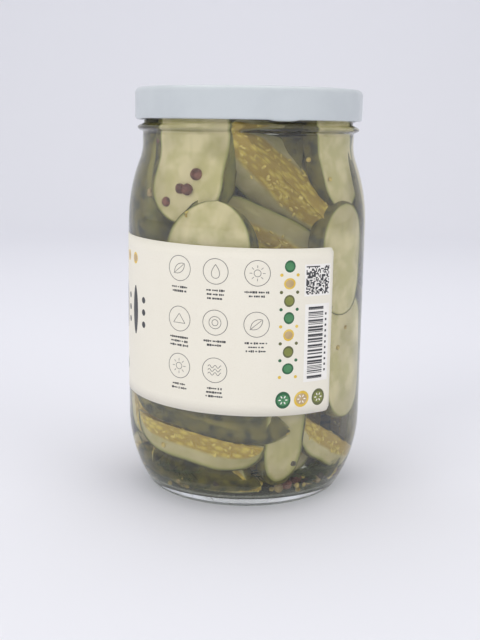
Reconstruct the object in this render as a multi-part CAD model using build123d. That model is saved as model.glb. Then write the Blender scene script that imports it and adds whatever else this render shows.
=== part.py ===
"""A lug-capped glass jar of pickles in brine: glass, metal lid, wrap label and contents.

Millimetres. +Z runs up the jar's axis, the origin is the centre of the foot ring on the
surface that the jar stands on, and -Y is the front. Angles about the axis are measured from
the front towards +X.
"""

from build123d import *
from math import asin, cos, degrees, radians, sin, sqrt
import os

# Overall sizes
overall_height = 160.0
body_radius = 47.75
wall = 2.5

# Base: flat foot ring, heel, then one large arc up to the straight side
foot_radius = 36.0
foot_width = 2.2
heel_radius = 5.0
base_curve_height = 30.0
base_thickness = 4.2
push_up = 1.6
floor_dome = 0.7
inner_heel_radius = 7.0

# Shoulder: a convex arc and a concave arc between the straight side and the neck
shoulder_drop = 52.0
shoulder_height = 31.0
concave_share = 0.22
neck_radius = 42.0

# Finish: bead, thread runs and sealing rim
bead_gap = 3.2
bead_height = 3.2
bead_radius = 44.3
finish_radius = 41.6
mouth_radius = 39.2
rim_round = 0.8
thread_count = 4
thread_arc = 46.0
thread_height = 1.8
thread_reach = 1.7
thread_root = 0.4
thread_slope = 2.0

# Lid: drawn metal cap with an inward curl and as many lugs as the finish has thread runs
lid_height = 12.0
lid_radius = 45.0
lid_metal = 0.5
lid_shoulder = 2.2
panel_step = 1.1
panel_step_run = 0.9
seal_ring = 1.6
button_radius = 14.0
button_rise = 0.5
curl_radius = 0.9
lug_arc = 15.0
lug_reach = 1.1
lug_sag = 0.5
lug_angle = 17.0
thread_clearance = 0.45

# Label: paper wrapped round the straight side, put on a little askew
label_length = 250.0
label_height = 63.0
label_middle = 71.0
label_thickness = 0.15
label_end_angle = 43.0
label_tilt = 1.1
label_corner = 2.0

# Contents: brine and pickles up to the fill level
headspace = 5.0

# Heights that follow from the sizes above
rim_top = overall_height - lid_metal
lid_bottom = overall_height - lid_height
bead_middle = lid_bottom - bead_gap
shoulder_bottom = overall_height - shoulder_drop
neck_bottom = shoulder_bottom + shoulder_height
fill_level = rim_top - headspace
inner_radius = body_radius - wall
inner_foot_radius = foot_radius - wall


def polar(centre, radius, angle):
    """The point at an angle, in degrees, on a circle in the (radius, height) plane."""
    return (centre[0] + radius * cos(radians(angle)), centre[1] + radius * sin(radians(angle)))


def arc_between(centre, radius, start, end):
    """An arc about centre from one angle to another, in degrees."""
    return ThreePointArc(
        polar(centre, radius, start),
        polar(centre, radius, (start + end) / 2),
        polar(centre, radius, end),
    )


def dome(radius, height, rise):
    """A shallow arc that starts level on the axis, rise above height, and ends at radius."""
    sphere = (radius**2 + rise**2) / (2 * rise)
    half = degrees(asin(radius / sphere)) / 2
    middle = polar((0, height + rise - sphere), sphere, 90 - half)
    return ThreePointArc((0, height + rise), middle, (radius, height))


def base_arcs(side_radius, top, foot, heel, ground):
    """The heel arc and the large arc from the foot at ground up to the straight side at top."""
    across = side_radius - foot
    up = top - ground - heel
    large = (across**2 + up**2 - heel**2) / (2 * (across - heel))
    heel_centre = (foot, ground + heel)
    large_centre = (side_radius - large, top)
    meet = -degrees(asin((top - heel_centre[1]) / (large - heel)))
    return [arc_between(heel_centre, heel, -90, meet), arc_between(large_centre, large, meet, 0)]


def shoulder_arcs(side_radius, bottom, throat_radius, top):
    """The convex and the concave arc from the straight side in to the throat."""
    step = side_radius - throat_radius
    rise = top - bottom
    both = (step**2 + rise**2) / (2 * step)
    concave = concave_share * both
    convex = both - concave
    turn = degrees(asin(rise / both))
    return [
        arc_between((side_radius - convex, bottom), convex, 0, turn),
        arc_between((throat_radius + concave, top), concave, 180 + turn, 180),
    ]


def chain(*edges_and_points):
    """Joins edges and points, in order, into one run of edges with straight lines between."""
    run = []
    last = None
    for item in edges_and_points:
        is_edge = isinstance(item, Edge)
        start = item @ 0 if is_edge else Vector(*item)
        if last is not None and (start - last).length > 1e-6:
            run.append(Line(last, start))
        if is_edge:
            run.append(item)
        last = item @ 1 if is_edge else start
    return run


def turned(edges):
    """The solid of revolution of a closed run of edges in the (radius, height) plane."""
    run = chain(*edges, edges[0] @ 0 if isinstance(edges[0], Edge) else edges[0])
    face = Plane.XZ * make_face(run)
    return revolve(face, Axis.Z, 360)


def inner_wall():
    """The inside of the glass, from the axis on its floor up to the foot of the throat."""
    return [
        dome(inner_foot_radius - inner_heel_radius / 2, base_thickness, floor_dome),
        *base_arcs(
            inner_radius,
            base_curve_height,
            inner_foot_radius - inner_heel_radius / 2,
            inner_heel_radius,
            base_thickness,
        ),
        *shoulder_arcs(inner_radius, shoulder_bottom, mouth_radius, neck_bottom),
    ]


def bead():
    """The transfer bead's outline, from the neck below it to the finish above it."""
    low = (neck_radius, bead_middle - bead_height / 2)
    high = (finish_radius, bead_middle + bead_height / 2)
    return ThreePointArc(low, (bead_radius, bead_middle), high)


def thread_run(angle):
    """One inclined thread run, its middle at an angle from the front."""
    low = lid_bottom + 2 * curl_radius + thread_clearance
    inside = finish_radius - thread_root
    outside = finish_radius + thread_reach
    slant = thread_height / 4
    outline = [
        (inside, low),
        (outside, low + slant),
        (outside, low + thread_height - slant),
        (inside, low + thread_height),
    ]
    face = Plane.XZ * make_face(chain(*outline, outline[0]))
    run = revolve(face, Axis.Z, thread_arc)
    lift = finish_radius * sin(radians(thread_arc / 2)) * sin(radians(thread_slope))
    run = Rot(0, 0, -thread_arc / 2) * run
    middle = low + thread_height / 2
    tilted = Pos(0, 0, middle + lift) * Rot(-thread_slope, 0, 0) * Pos(0, 0, -middle) * run
    return Rot(0, 0, angle - 90) * tilted


def glass_jar():
    """The glass, as one solid with its thread runs."""
    outer = [
        dome(foot_radius - foot_width, 0, push_up),
        (foot_radius, 0),
        *base_arcs(body_radius, base_curve_height, foot_radius, heel_radius, 0),
        *shoulder_arcs(body_radius, shoulder_bottom, neck_radius, neck_bottom),
        bead(),
        arc_between((finish_radius - rim_round, rim_top - rim_round), rim_round, 0, 90),
        arc_between((mouth_radius + rim_round, rim_top - rim_round), rim_round, 90, 180),
    ]
    throat_down = [edge.reversed() for edge in reversed(inner_wall())]
    glass = turned(outer + throat_down)
    for index in range(thread_count):
        glass += thread_run(lug_angle + index * 360 / thread_count)
    return glass


def lid_lug(angle):
    """One lug, where the curl is pressed in and down, its middle at an angle from the front."""
    middle = lid_radius - curl_radius
    outline = [
        (middle - curl_radius - lug_reach, lid_bottom + curl_radius / 2),
        (middle - curl_radius / 2, lid_bottom - lug_sag),
        (middle + curl_radius / 2, lid_bottom - lug_sag / 2),
        (middle + curl_radius / 2, lid_bottom + curl_radius),
        (middle - curl_radius - lug_reach, lid_bottom + 2 * curl_radius - lug_sag / 2),
    ]
    face = Plane.XZ * make_face(chain(*outline, outline[0]))
    lug = revolve(face, Axis.Z, lug_arc)
    return Rot(0, 0, angle - 90 - lug_arc / 2) * lug


def metal_lid():
    """The drawn cap: stepped panel, round shoulder, straight skirt, inward curl and lugs."""
    top = overall_height
    under = top - lid_metal
    step_outer = mouth_radius - seal_ring
    step_inner = step_outer - panel_step_run
    button_edge = button_radius + button_rise
    skirt_inside = lid_radius - lid_metal
    curl_middle = lid_radius - curl_radius
    curl_height = lid_bottom + curl_radius
    reach = skirt_inside - curl_middle
    curl_end = degrees(asin(sqrt(curl_radius**2 - reach**2) / curl_radius))
    lid = turned(
        [
            (0, under - panel_step + button_rise),
            (button_radius, under - panel_step + button_rise),
            (button_edge, under - panel_step),
            (step_inner, under - panel_step),
            (step_outer, under),
            arc_between(
                (lid_radius - lid_shoulder, top - lid_shoulder), lid_shoulder - lid_metal, 90, 0
            ),
            arc_between((curl_middle, curl_height), curl_radius, curl_end, 360),
            arc_between((lid_radius - lid_shoulder, top - lid_shoulder), lid_shoulder, 0, 90),
            (step_outer, top),
            (step_inner, top - panel_step),
            (button_edge, top - panel_step),
            (button_radius, top - panel_step + button_rise),
            (0, top - panel_step + button_rise),
        ]
    )
    for index in range(thread_count):
        lid += lid_lug(lug_angle + index * 360 / thread_count)
    return lid


def wrap_label():
    """The paper label: a thin shell cut to its length, to a tilted band and to round corners."""
    outside = body_radius + label_thickness
    wrap = degrees(label_length / body_radius)
    section = Pos((body_radius + outside) / 2, label_middle) * Rectangle(
        label_thickness, 2 * label_height
    )
    shell = revolve(Plane.XZ * section, Axis.Z, wrap)
    start = Rot(0, 0, label_end_angle - 90 - wrap) * shell
    band = Pos(0, 0, label_middle) * Rot(0, label_tilt, 0) * Box(
        4 * body_radius, 4 * body_radius, label_height
    )
    label = start & band
    corners = [e for e in label.edges() if abs(e.length - label_thickness) < label_thickness / 10]
    return fillet(corners, min(label_corner, label_height / 3))


def contents():
    """Brine with pickles: everything inside the glass up to the fill level."""
    return turned([*inner_wall(), (mouth_radius, fill_level), (0, fill_level)])


def main():
    """Builds every node and writes one STEP file for each."""
    os.makedirs("parts", exist_ok=True)
    nodes = {
        "glass_jar": glass_jar(),
        "metal_lid": metal_lid(),
        "wrap_label": wrap_label(),
        "contents": contents(),
    }
    for name, shape in nodes.items():
        export_step(shape, f"parts/{name}.step")
        print(name, "volume", round(shape.volume), "valid", shape.is_valid)


main()
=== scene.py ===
"""The looks of a lug-capped jar of pickles: glass, lid, label, brine, pickles and spices.

Metres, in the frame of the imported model: +Z up the jar's axis, -Y the front. Angles about the
axis are measured from the front towards +X. Sizes below are in millimetres.
"""

import logging
import math
import random
from dataclasses import dataclass, field
from enum import Enum
from typing import Callable, Iterable, Sequence

import bmesh
import bpy
import numpy as np
from mathutils import Matrix, Vector, noise


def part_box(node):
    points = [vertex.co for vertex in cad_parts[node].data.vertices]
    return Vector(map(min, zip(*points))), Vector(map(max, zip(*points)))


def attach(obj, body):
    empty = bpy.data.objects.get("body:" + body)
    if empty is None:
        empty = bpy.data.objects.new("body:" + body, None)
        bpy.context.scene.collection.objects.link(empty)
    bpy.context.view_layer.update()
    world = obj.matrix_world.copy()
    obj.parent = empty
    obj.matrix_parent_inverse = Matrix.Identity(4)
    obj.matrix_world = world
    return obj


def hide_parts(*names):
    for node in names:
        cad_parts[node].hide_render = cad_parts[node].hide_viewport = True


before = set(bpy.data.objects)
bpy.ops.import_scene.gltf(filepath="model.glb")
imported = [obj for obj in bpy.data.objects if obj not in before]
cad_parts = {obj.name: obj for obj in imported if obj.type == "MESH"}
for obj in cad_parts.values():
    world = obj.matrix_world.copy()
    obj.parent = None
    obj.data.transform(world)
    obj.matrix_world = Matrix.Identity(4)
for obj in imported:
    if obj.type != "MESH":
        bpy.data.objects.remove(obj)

LOG = logging.getLogger("pickle_jar")
MM = 0.001
BODY = "root"
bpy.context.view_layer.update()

Colour = tuple[float, float, float, float]
Point = tuple[float, float]
Pair = tuple[Point, Point]
Spot = tuple[float, float, float]


def shade(red: int, green: int, blue: int) -> Colour:
    """Turns display colour steps into the linear colour that a shader takes.

    Args:
        red: Display red, 0 to 255.
        green: Display green, 0 to 255.
        blue: Display blue, 0 to 255.

    Returns:
        The linear colour with an alpha of 1.
    """

    def linear(step: int) -> float:
        """The linear value of one display step."""
        value = step / 255
        return value / 12.92 if value <= 0.04045 else ((value + 0.055) / 1.055) ** 2.4

    return (linear(red), linear(green), linear(blue), 1.0)


def linked(name: str, data: bpy.types.ID) -> bpy.types.Object:
    """Makes an object in the scene.

    Args:
        name: The object's name.
        data: Its mesh, lamp or camera.

    Returns:
        The object.
    """
    made = bpy.data.objects.new(name, data)
    bpy.context.scene.collection.objects.link(made)
    return made


# ---- node trees


class Wire:
    """A socket in a node tree that takes part in Python arithmetic."""

    def __init__(self, graph: "Graph", socket: bpy.types.NodeSocket) -> None:
        """Wraps a socket of a graph's node."""
        self.graph = graph
        self.socket = socket

    def math(self, operation: str, *others: "Wire | float") -> "Wire":
        """Adds a Math node fed by this wire first.

        Args:
            operation: The Math node's operation.
            others: The further operands.

        Returns:
            The node's result.
        """
        operands = dict(enumerate((self, *others)))
        return self.graph.node("ShaderNodeMath", {"operation": operation}, operands)[0]

    def __add__(self, other: "Wire | float") -> "Wire":
        """Sum."""
        return self.math("ADD", other)

    __radd__ = __add__

    def __sub__(self, other: "Wire | float") -> "Wire":
        """Difference."""
        return self.math("SUBTRACT", other)

    def __rsub__(self, other: float) -> "Wire":
        """Difference with a number first."""
        return self.graph.node(
            "ShaderNodeMath", {"operation": "SUBTRACT"}, {0: other, 1: self}
        )[0]

    def __mul__(self, other: "Wire | float") -> "Wire":
        """Product."""
        return self.math("MULTIPLY", other)

    __rmul__ = __mul__

    def ramp(self, low: float, high: float) -> "Wire":
        """A smooth step from 0 at low to 1 at high; low may be the larger.

        Args:
            low: The value that gives 0.
            high: The value that gives 1.

        Returns:
            The step.
        """
        ends = {"Value": self, "From Min": min(low, high), "From Max": max(low, high)}
        ends |= {"To Min": float(low > high), "To Max": float(low <= high)}
        return self.graph.node(
            "ShaderNodeMapRange", {"interpolation_type": "SMOOTHSTEP"}, ends
        )["Result"]


class Outputs:
    """The outputs of one node, as wires by name or index."""

    def __init__(self, graph: "Graph", node: bpy.types.Node) -> None:
        """Wraps a node of a graph."""
        self.graph = graph
        self.node = node

    def __getitem__(self, key: str | int) -> Wire:
        """The wire of one output."""
        return Wire(self.graph, self.node.outputs[key])


class Graph:
    """A node tree that nodes are added to by type, settings and sockets."""

    def __init__(self, tree: bpy.types.NodeTree) -> None:
        """Starts on a tree."""
        self.tree = tree

    def node(
        self, kind: str, settings: dict | None = None, sockets: dict | None = None
    ) -> Outputs:
        """Adds a node.

        Args:
            kind: The node's type.
            settings: The node's own properties.
            sockets: Values or wires, by the name or index of the input.

        Returns:
            The node's outputs.
        """
        made = self.tree.nodes.new(kind)
        for name, value in (settings or {}).items():
            setattr(made, name, value)
        for key, value in (sockets or {}).items():
            if isinstance(value, Wire):
                self.tree.links.new(value.socket, made.inputs[key])
            else:
                made.inputs[key].default_value = value
        return Outputs(self, made)


class Paint(Graph):
    """The node tree of one material."""

    def __init__(self, name: str) -> None:
        """Makes an empty node material."""
        self.material = bpy.data.materials.new(name)
        self.material.use_nodes = True
        super().__init__(self.material.node_tree)
        self.tree.nodes.clear()

    def position(self) -> Wire:
        """The point on the object, in metres."""
        return self.node("ShaderNodeTexCoord")["Object"]

    def attribute(self, name: str) -> Wire:
        """A vector attribute of the mesh."""
        return self.node("ShaderNodeAttribute", {"attribute_name": name})["Vector"]

    def part(self, vector: Wire, axis: int) -> Wire:
        """One number of a vector."""
        return self.node("ShaderNodeSeparateXYZ", None, {0: vector})[axis]

    def stretch(self, vector: Wire, scale: Spot) -> Wire:
        """A vector scaled by axis."""
        return self.node(
            "ShaderNodeVectorMath", {"operation": "MULTIPLY"}, {0: vector, 1: scale}
        )[0]

    def grain(self, vector: Wire, scale: float, detail: float = 3.0) -> Wire:
        """Noise of 0 to 1 on a vector, at a scale per unit."""
        return self.node(
            "ShaderNodeTexNoise", None, {"Vector": vector, "Scale": scale, "Detail": detail}
        )[0]

    def blend(self, factor: Wire | float, first: Wire | Colour, second: Wire | Colour) -> Wire:
        """A colour between two others.

        Args:
            factor: 0 for the first colour, 1 for the second.
            first: The first colour.
            second: The second colour.

        Returns:
            The mixed colour.
        """
        return self.node(
            "ShaderNodeMix", {"data_type": "RGBA"}, {0: factor, 6: first, 7: second}
        )[2]

    def bump(self, height: Wire, depth: float, strength: float = 1.0) -> Wire:
        """A normal from a height of 0 to 1 and a depth in millimetres."""
        sockets = {"Height": height, "Strength": strength, "Distance": depth * MM}
        return self.node("ShaderNodeBump", None, sockets)["Normal"]

    def surface(self, sockets: dict) -> Wire:
        """A Principled surface with these sockets."""
        return self.node("ShaderNodeBsdfPrincipled", None, sockets)[0]

    def finish(self, surface: Wire, volume: Wire | None = None) -> bpy.types.Material:
        """Connects the output.

        Args:
            surface: The surface shader.
            volume: The volume shader, if there is one.

        Returns:
            The finished material.
        """
        sockets = {"Surface": surface}
        if volume is not None:
            sockets["Volume"] = volume
        self.node("ShaderNodeOutputMaterial", None, sockets)
        return self.material


class Growth(Graph):
    """A Geometry Nodes tree with named inputs, ending in real mesh with one material."""

    def __init__(self, name: str) -> None:
        """Makes a tree with a geometry input and output."""
        super().__init__(bpy.data.node_groups.new(name, "GeometryNodeTree"))
        face = self.tree.interface
        face.new_socket("Geometry", in_out="INPUT", socket_type="NodeSocketGeometry")
        face.new_socket("Geometry", in_out="OUTPUT", socket_type="NodeSocketGeometry")
        self.entry = self.tree.nodes.new("NodeGroupInput")
        self.names: dict[str, str] = {}

    def input(self, name: str, kind: str = "NodeSocketFloat") -> Wire:
        """Adds a named input.

        Args:
            name: The input's name.
            kind: Its socket type.

        Returns:
            The input's wire.
        """
        item = self.tree.interface.new_socket(name, in_out="INPUT", socket_type=kind)
        self.names[name] = item.identifier
        return Wire(self, self.entry.outputs[name])

    def geometry(self) -> Wire:
        """The geometry that the tree is given."""
        return Wire(self, self.entry.outputs[0])

    def random_turn(self, reach: Spot, seed: int) -> Wire:
        """A random turn of up to reach, in radians, either way about each axis.

        Args:
            reach: The largest turn about each axis.
            seed: The random seed.

        Returns:
            The turn, one for each instance.
        """
        back = tuple(-angle for angle in reach)
        ends = {0: back, 1: reach, "Seed": seed}
        return self.node("FunctionNodeRandomValue", {"data_type": "FLOAT_VECTOR"}, ends)[0]

    def random_size(self, low: float, high: float, seed: int) -> Wire:
        """A random factor between two, one for each instance.

        Args:
            low: The smallest factor.
            high: The largest factor.
            seed: The random seed.

        Returns:
            The factor.
        """
        ends = {2: low, 3: high, "Seed": seed}
        return self.node("FunctionNodeRandomValue", {"data_type": "FLOAT"}, ends)[1]

    def turned(self, first: Wire, second: Wire) -> Wire:
        """A rotation followed by another about its own axes."""
        space = {"rotation_space": "LOCAL"}
        return self.node("FunctionNodeRotateRotation", space, {0: first, 1: second})[0]

    def instances(self, points: Wire, shape: Wire, rotation: Wire, scale: Wire) -> Wire:
        """A shape set on every point.

        Args:
            points: The points.
            shape: The geometry that is repeated.
            rotation: Its rotation on each point.
            scale: Its scale on each point.

        Returns:
            The instances.
        """
        sockets = {"Points": points, "Instance": shape, "Rotation": rotation, "Scale": scale}
        return self.node("GeometryNodeInstanceOnPoints", None, sockets)[0]

    def join(self, *parts: Wire) -> Wire:
        """Several geometries as one.

        Args:
            parts: The geometries.

        Returns:
            The joined geometry.
        """
        node = self.tree.nodes.new("GeometryNodeJoinGeometry")
        for part in parts:
            self.tree.links.new(part.socket, node.inputs[0])
        return Wire(self, node.outputs[0])

    def close(self, geometry: Wire, material: bpy.types.Material) -> None:
        """Realizes instances, sets the material and connects the output.

        Args:
            geometry: The tree's result.
            material: The material of every face.
        """
        real = self.node("GeometryNodeRealizeInstances", None, {0: geometry})[0]
        sockets = {"Geometry": real, "Material": material}
        done = self.node("GeometryNodeSetMaterial", None, sockets)[0]
        self.node("NodeGroupOutput", None, {0: done})

    def grow(self, name: str, base: bpy.types.Object, sizes: dict) -> bpy.types.Object:
        """Runs the tree on a base object and keeps the result as a plain mesh.

        Args:
            name: The new piece's name.
            base: The object that the tree starts from, which is removed.
            sizes: Values of the named inputs.

        Returns:
            The new piece.
        """
        modifier = base.modifiers.new("growth", "NODES")
        modifier.node_group = self.tree
        for key, value in sizes.items():
            modifier[self.names[key]] = value
        graph = bpy.context.evaluated_depsgraph_get()
        graph.update()
        mesh = bpy.data.meshes.new_from_object(
            base.evaluated_get(graph), preserve_all_data_layers=True, depsgraph=graph
        )
        base.modifiers.remove(modifier)
        bpy.data.objects.remove(base)
        mesh.name = name
        piece = linked(name, mesh)
        mesh.shade_smooth()
        return piece


# ---- meshes


def new_piece(
    name: str,
    points: Iterable[Sequence[float]],
    faces: Sequence[Sequence[int]],
    material: bpy.types.Material | None = None,
) -> bpy.types.Object:
    """Makes a smooth mesh object from points in metres.

    Args:
        name: The object's name.
        points: Its vertices.
        faces: Its faces, as vertex numbers.
        material: Its material, if it has one already.

    Returns:
        The object, linked to the scene.
    """
    mesh = bpy.data.meshes.new(name)
    mesh.from_pydata([tuple(map(float, p)) for p in points], [], faces)
    mesh.validate()
    mesh.shade_smooth()
    piece = linked(name, mesh)
    if material is not None:
        mesh.materials.append(material)
    return piece


def arc(centre: Point, radius: float, start: float, end: float, steps: int) -> list[Point]:
    """Points along an arc in the (radius, height) plane.

    Args:
        centre: The arc's centre.
        radius: Its radius.
        start: Its first angle, in degrees.
        end: Its last angle, in degrees.
        steps: How many pieces it is cut into.

    Returns:
        The points from start to end.
    """
    angles = [math.radians(start + (end - start) * i / steps) for i in range(steps + 1)]
    return [(centre[0] + radius * math.cos(a), centre[1] + radius * math.sin(a)) for a in angles]


def joined(*runs: Sequence[Point]) -> list[Point]:
    """Runs of points one after another, without doubled points."""
    points: list[Point] = []
    for run in runs:
        for point in run:
            if not points or math.dist(points[-1], point) > 1e-5:
                points.append(point)
    return points


def filled(points: Sequence[Point], longest: float) -> list[Point]:
    """A run of points with its long gaps divided evenly.

    Args:
        points: The run.
        longest: The longest gap that may stay.

    Returns:
        The run with points added.
    """
    result = [points[0]]
    for first, second in zip(points, points[1:]):
        pieces = max(1, math.ceil(math.dist(first, second) / longest))
        for step in range(1, pieces + 1):
            share = step / pieces
            result.append(tuple(a + (b - a) * share for a, b in zip(first, second)))
    return result


def lathe(
    name: str,
    profile: Sequence[Point],
    segments: int,
    material: bpy.types.Material,
    shift: Callable[[int, float], Point] | None = None,
) -> bpy.types.Object:
    """Turns a profile in millimetres about the axis into a closed mesh.

    A profile that starts and ends on the axis is closed by two poles. Another profile is
    taken as a ring section, whose last point joins its first.

    Args:
        name: The object's name.
        profile: Points (radius, height), going outwards and up round the outside.
        segments: How many faces go round.
        material: The mesh's material.
        shift: Gives (radial, upward) shifts in millimetres for a profile point's number and
            an angle in degrees.

    Returns:
        The turned object.
    """
    on_axis = profile[0][0] < 1e-6
    rings = list(profile[1:-1]) if on_axis else list(profile)
    offset = 1 if on_axis else 0
    points: list[Spot] = []
    for number, (radius, height) in enumerate(rings):
        for step in range(segments):
            degrees = 360 * step / segments
            out, up = shift(number + offset, degrees) if shift else (0.0, 0.0)
            turn = math.radians(degrees)
            across = (radius + out) * MM
            points.append((across * math.sin(turn), -across * math.cos(turn), (height + up) * MM))
    faces = []
    pairs = len(rings) - 1 if on_axis else len(rings)
    for ring in range(pairs):
        low = ring * segments
        high = (ring + 1) % len(rings) * segments
        for step in range(segments):
            after = (step + 1) % segments
            faces.append((low + step, low + after, high + after, high + step))
    if on_axis:
        start, end = len(points), len(points) + 1
        points += [(0, 0, profile[0][1] * MM), (0, 0, profile[-1][1] * MM)]
        last = (len(rings) - 1) * segments
        for step in range(segments):
            after = (step + 1) % segments
            faces.append((start, after, step))
            faces.append((end, last + step, last + after))
    return new_piece(name, points, faces, material)


def around_axis(degrees: float, radius: float, height: float) -> Spot:
    """The point at an angle from the front, a radius from the axis and a height."""
    turn = math.radians(degrees)
    return (radius * math.sin(turn), -radius * math.cos(turn), height)


def around(degrees: float) -> float:
    """An angle brought into the range of -180 to 180 degrees."""
    return (degrees + 180) % 360 - 180


# ---- finishes


@dataclass(frozen=True)
class Clear:
    """Glass or brine that lamps shine through, so that what is inside is lit."""

    name: str
    ior: float
    tint: Colour
    through: Colour
    absorption: Colour = (1.0, 1.0, 1.0, 1.0)
    density: float = 0.0
    frost_height: float = 0.0

    def make(self) -> bpy.types.Material:
        """Builds the material."""
        paint = Paint(self.name)
        rough: Wire | float = 0.0
        if self.frost_height > 0:
            height = paint.part(paint.position(), 2)
            rough = height.ramp(self.frost_height * MM, self.frost_height * 0.7 * MM) * 0.8
        clear = paint.surface(
            {
                "Base Color": self.tint,
                "Roughness": rough,
                "IOR": self.ior,
                "Transmission Weight": 1.0,
            }
        )
        lamp = paint.node("ShaderNodeBsdfTransparent", None, {"Color": self.through})[0]
        path = paint.node("ShaderNodeLightPath")
        unseen = path["Is Shadow Ray"].math("MAXIMUM", path["Is Diffuse Ray"])
        both = paint.node("ShaderNodeMixShader", None, {0: unseen, 1: clear, 2: lamp})[0]
        volume = None
        if self.density > 0:
            sockets = {"Color": self.absorption, "Density": self.density}
            volume = paint.node("ShaderNodeVolumeAbsorption", None, sockets)[0]
        return paint.finish(both, volume)


@dataclass(frozen=True)
class Enamel:
    """Baked enamel on tinplate, with faint orange peel and rubbed patches."""

    colour: Colour
    rubbed: Colour
    peel: float = 0.02

    def make(self) -> bpy.types.Material:
        """Builds the material."""
        paint = Paint("white_enamel")
        place = paint.position()
        patches = paint.grain(place, 55).ramp(0.42, 0.66)
        fine = paint.grain(place, 900, 2.0)
        sockets = {
            "Base Color": paint.blend(patches * 0.5, self.colour, self.rubbed),
            "Roughness": 0.3 + patches * 0.14,
            "Normal": paint.bump(fine, self.peel, 0.35),
            "Coat Weight": 0.25,
            "Coat Roughness": 0.12,
        }
        return paint.finish(paint.surface(sockets))


@dataclass(frozen=True)
class Paper:
    """Cream coated label paper with faint fibres."""

    colour: Colour
    fibre: Colour

    def make(self) -> bpy.types.Material:
        """Builds the material."""
        paint = Paint("label_paper")
        place = paint.position()
        clouds = paint.grain(place, 70)
        fibres = paint.grain(paint.stretch(place, (1.0, 1.0, 4.0)), 1500, 4.0)
        mask = fibres.ramp(0.5, 0.72) * 0.35 + clouds * 0.3
        sockets = {
            "Base Color": paint.blend(mask, self.colour, self.fibre),
            "Roughness": 0.42 + fibres * 0.2,
            "Normal": paint.bump(fibres, 0.02, 0.4),
        }
        return paint.finish(paint.surface(sockets))


@dataclass(frozen=True)
class Ink:
    """Offset ink on the label, a little uneven as it dries into the paper."""

    name: str
    colour: Colour
    pale: Colour

    def make(self) -> bpy.types.Material:
        """Builds the material."""
        paint = Paint("ink_" + self.name)
        place = paint.position()
        mottle = paint.grain(place, 260).ramp(0.35, 0.75)
        sockets = {
            "Base Color": paint.blend(mottle * 0.7, self.colour, self.pale),
            "Roughness": 0.38 + paint.grain(place, 1400) * 0.15,
        }
        return paint.finish(paint.surface(sockets))


@dataclass(frozen=True)
class PickleFlesh:
    """A gherkin's skin, flesh and seedy core, told apart by the mesh's own attributes.

    "own" is a point's place in the straight gherkin in metres. "flesh" holds its distance from
    the gherkin's axis as a share of the radius there, its depth under the skin in centimetres,
    and how dark and clear that pickle is.
    """

    name: str
    cream: Colour = shade(230, 214, 174)
    pale_green: Colour = shade(202, 190, 136)
    glassy: Colour = shade(136, 124, 74)
    under_skin: Colour = shade(134, 136, 62)
    core: Colour = shade(206, 182, 84)
    core_dark: Colour = shade(172, 142, 58)
    skin: Colour = shade(106, 96, 40)
    skin_dark: Colour = shade(50, 50, 24)
    skin_light: Colour = shade(150, 136, 64)

    def make(self) -> bpy.types.Material:
        """Builds the material."""
        paint = Paint(self.name)
        own = paint.attribute("own")
        flesh = paint.attribute("flesh")
        share, depth, dark = (paint.part(flesh, axis) for axis in range(3))
        streaks = paint.grain(paint.stretch(own, (1.0, 1.0, 0.22)), 420, 3.0)
        clouds = paint.grain(own, 130, 2.0)
        body = paint.blend(clouds.ramp(0.35, 0.7), self.cream, self.pale_green)
        body = paint.blend(paint.grain(own, 48, 1.0).ramp(0.45, 0.7) * 0.45, body, self.glassy)
        body = paint.blend(dark * 0.8, body, self.glassy)
        body = paint.blend(streaks.ramp(0.5, 0.75) * 0.35, body, self.pale_green)
        body = paint.blend(depth.ramp(0.19, 0.03) * 0.9, body, self.under_skin)
        cells = paint.node(
            "ShaderNodeTexVoronoi",
            {"feature": "F1"},
            {"Vector": paint.stretch(own, (1.0, 1.0, 0.45)), "Scale": 520.0},
        )[0]
        pulp = paint.blend(cells.ramp(0.15, 0.6), self.core, self.core_dark)
        edge = share + (clouds - 0.5) * 0.12
        colour = paint.blend(edge.ramp(0.60, 0.46), body, pulp)
        blotches = paint.grain(own, 240, 4.0)
        stripes = paint.grain(paint.stretch(own, (1.0, 1.0, 0.12)), 160, 2.0)
        rind = paint.blend(blotches.ramp(0.4, 0.68), self.skin, self.skin_dark)
        rind = paint.blend(stripes.ramp(0.55, 0.75) * 0.8, rind, self.skin_light)
        colour = paint.blend(depth.ramp(0.075, 0.02), colour, rind)
        relief = cells * edge.ramp(0.6, 0.46) + blotches * 0.6 + streaks * 0.2
        sockets = {
            "Base Color": colour,
            "Roughness": 0.42 + streaks * 0.25,
            "Normal": paint.bump(relief, 0.5, 0.5),
        }
        return paint.finish(paint.surface(sockets))


@dataclass(frozen=True)
class Speckled:
    """A small thing's finish: two colours in blotches, over fine wrinkles."""

    name: str
    colour: Colour
    other: Colour
    scale: float = 500.0
    roughness: float = 0.5
    wrinkle: float = 0.15

    def make(self) -> bpy.types.Material:
        """Builds the material."""
        paint = Paint(self.name)
        place = paint.position()
        blotch = paint.grain(place, self.scale, 3.0)
        fine = paint.grain(place, self.scale * 3, 3.0)
        sockets = {
            "Base Color": paint.blend(blotch.ramp(0.38, 0.66), self.colour, self.other),
            "Roughness": self.roughness + fine * 0.2,
            "Normal": paint.bump(fine, self.wrinkle, 0.6),
        }
        return paint.finish(paint.surface(sockets))


# ---- jar shape


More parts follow.
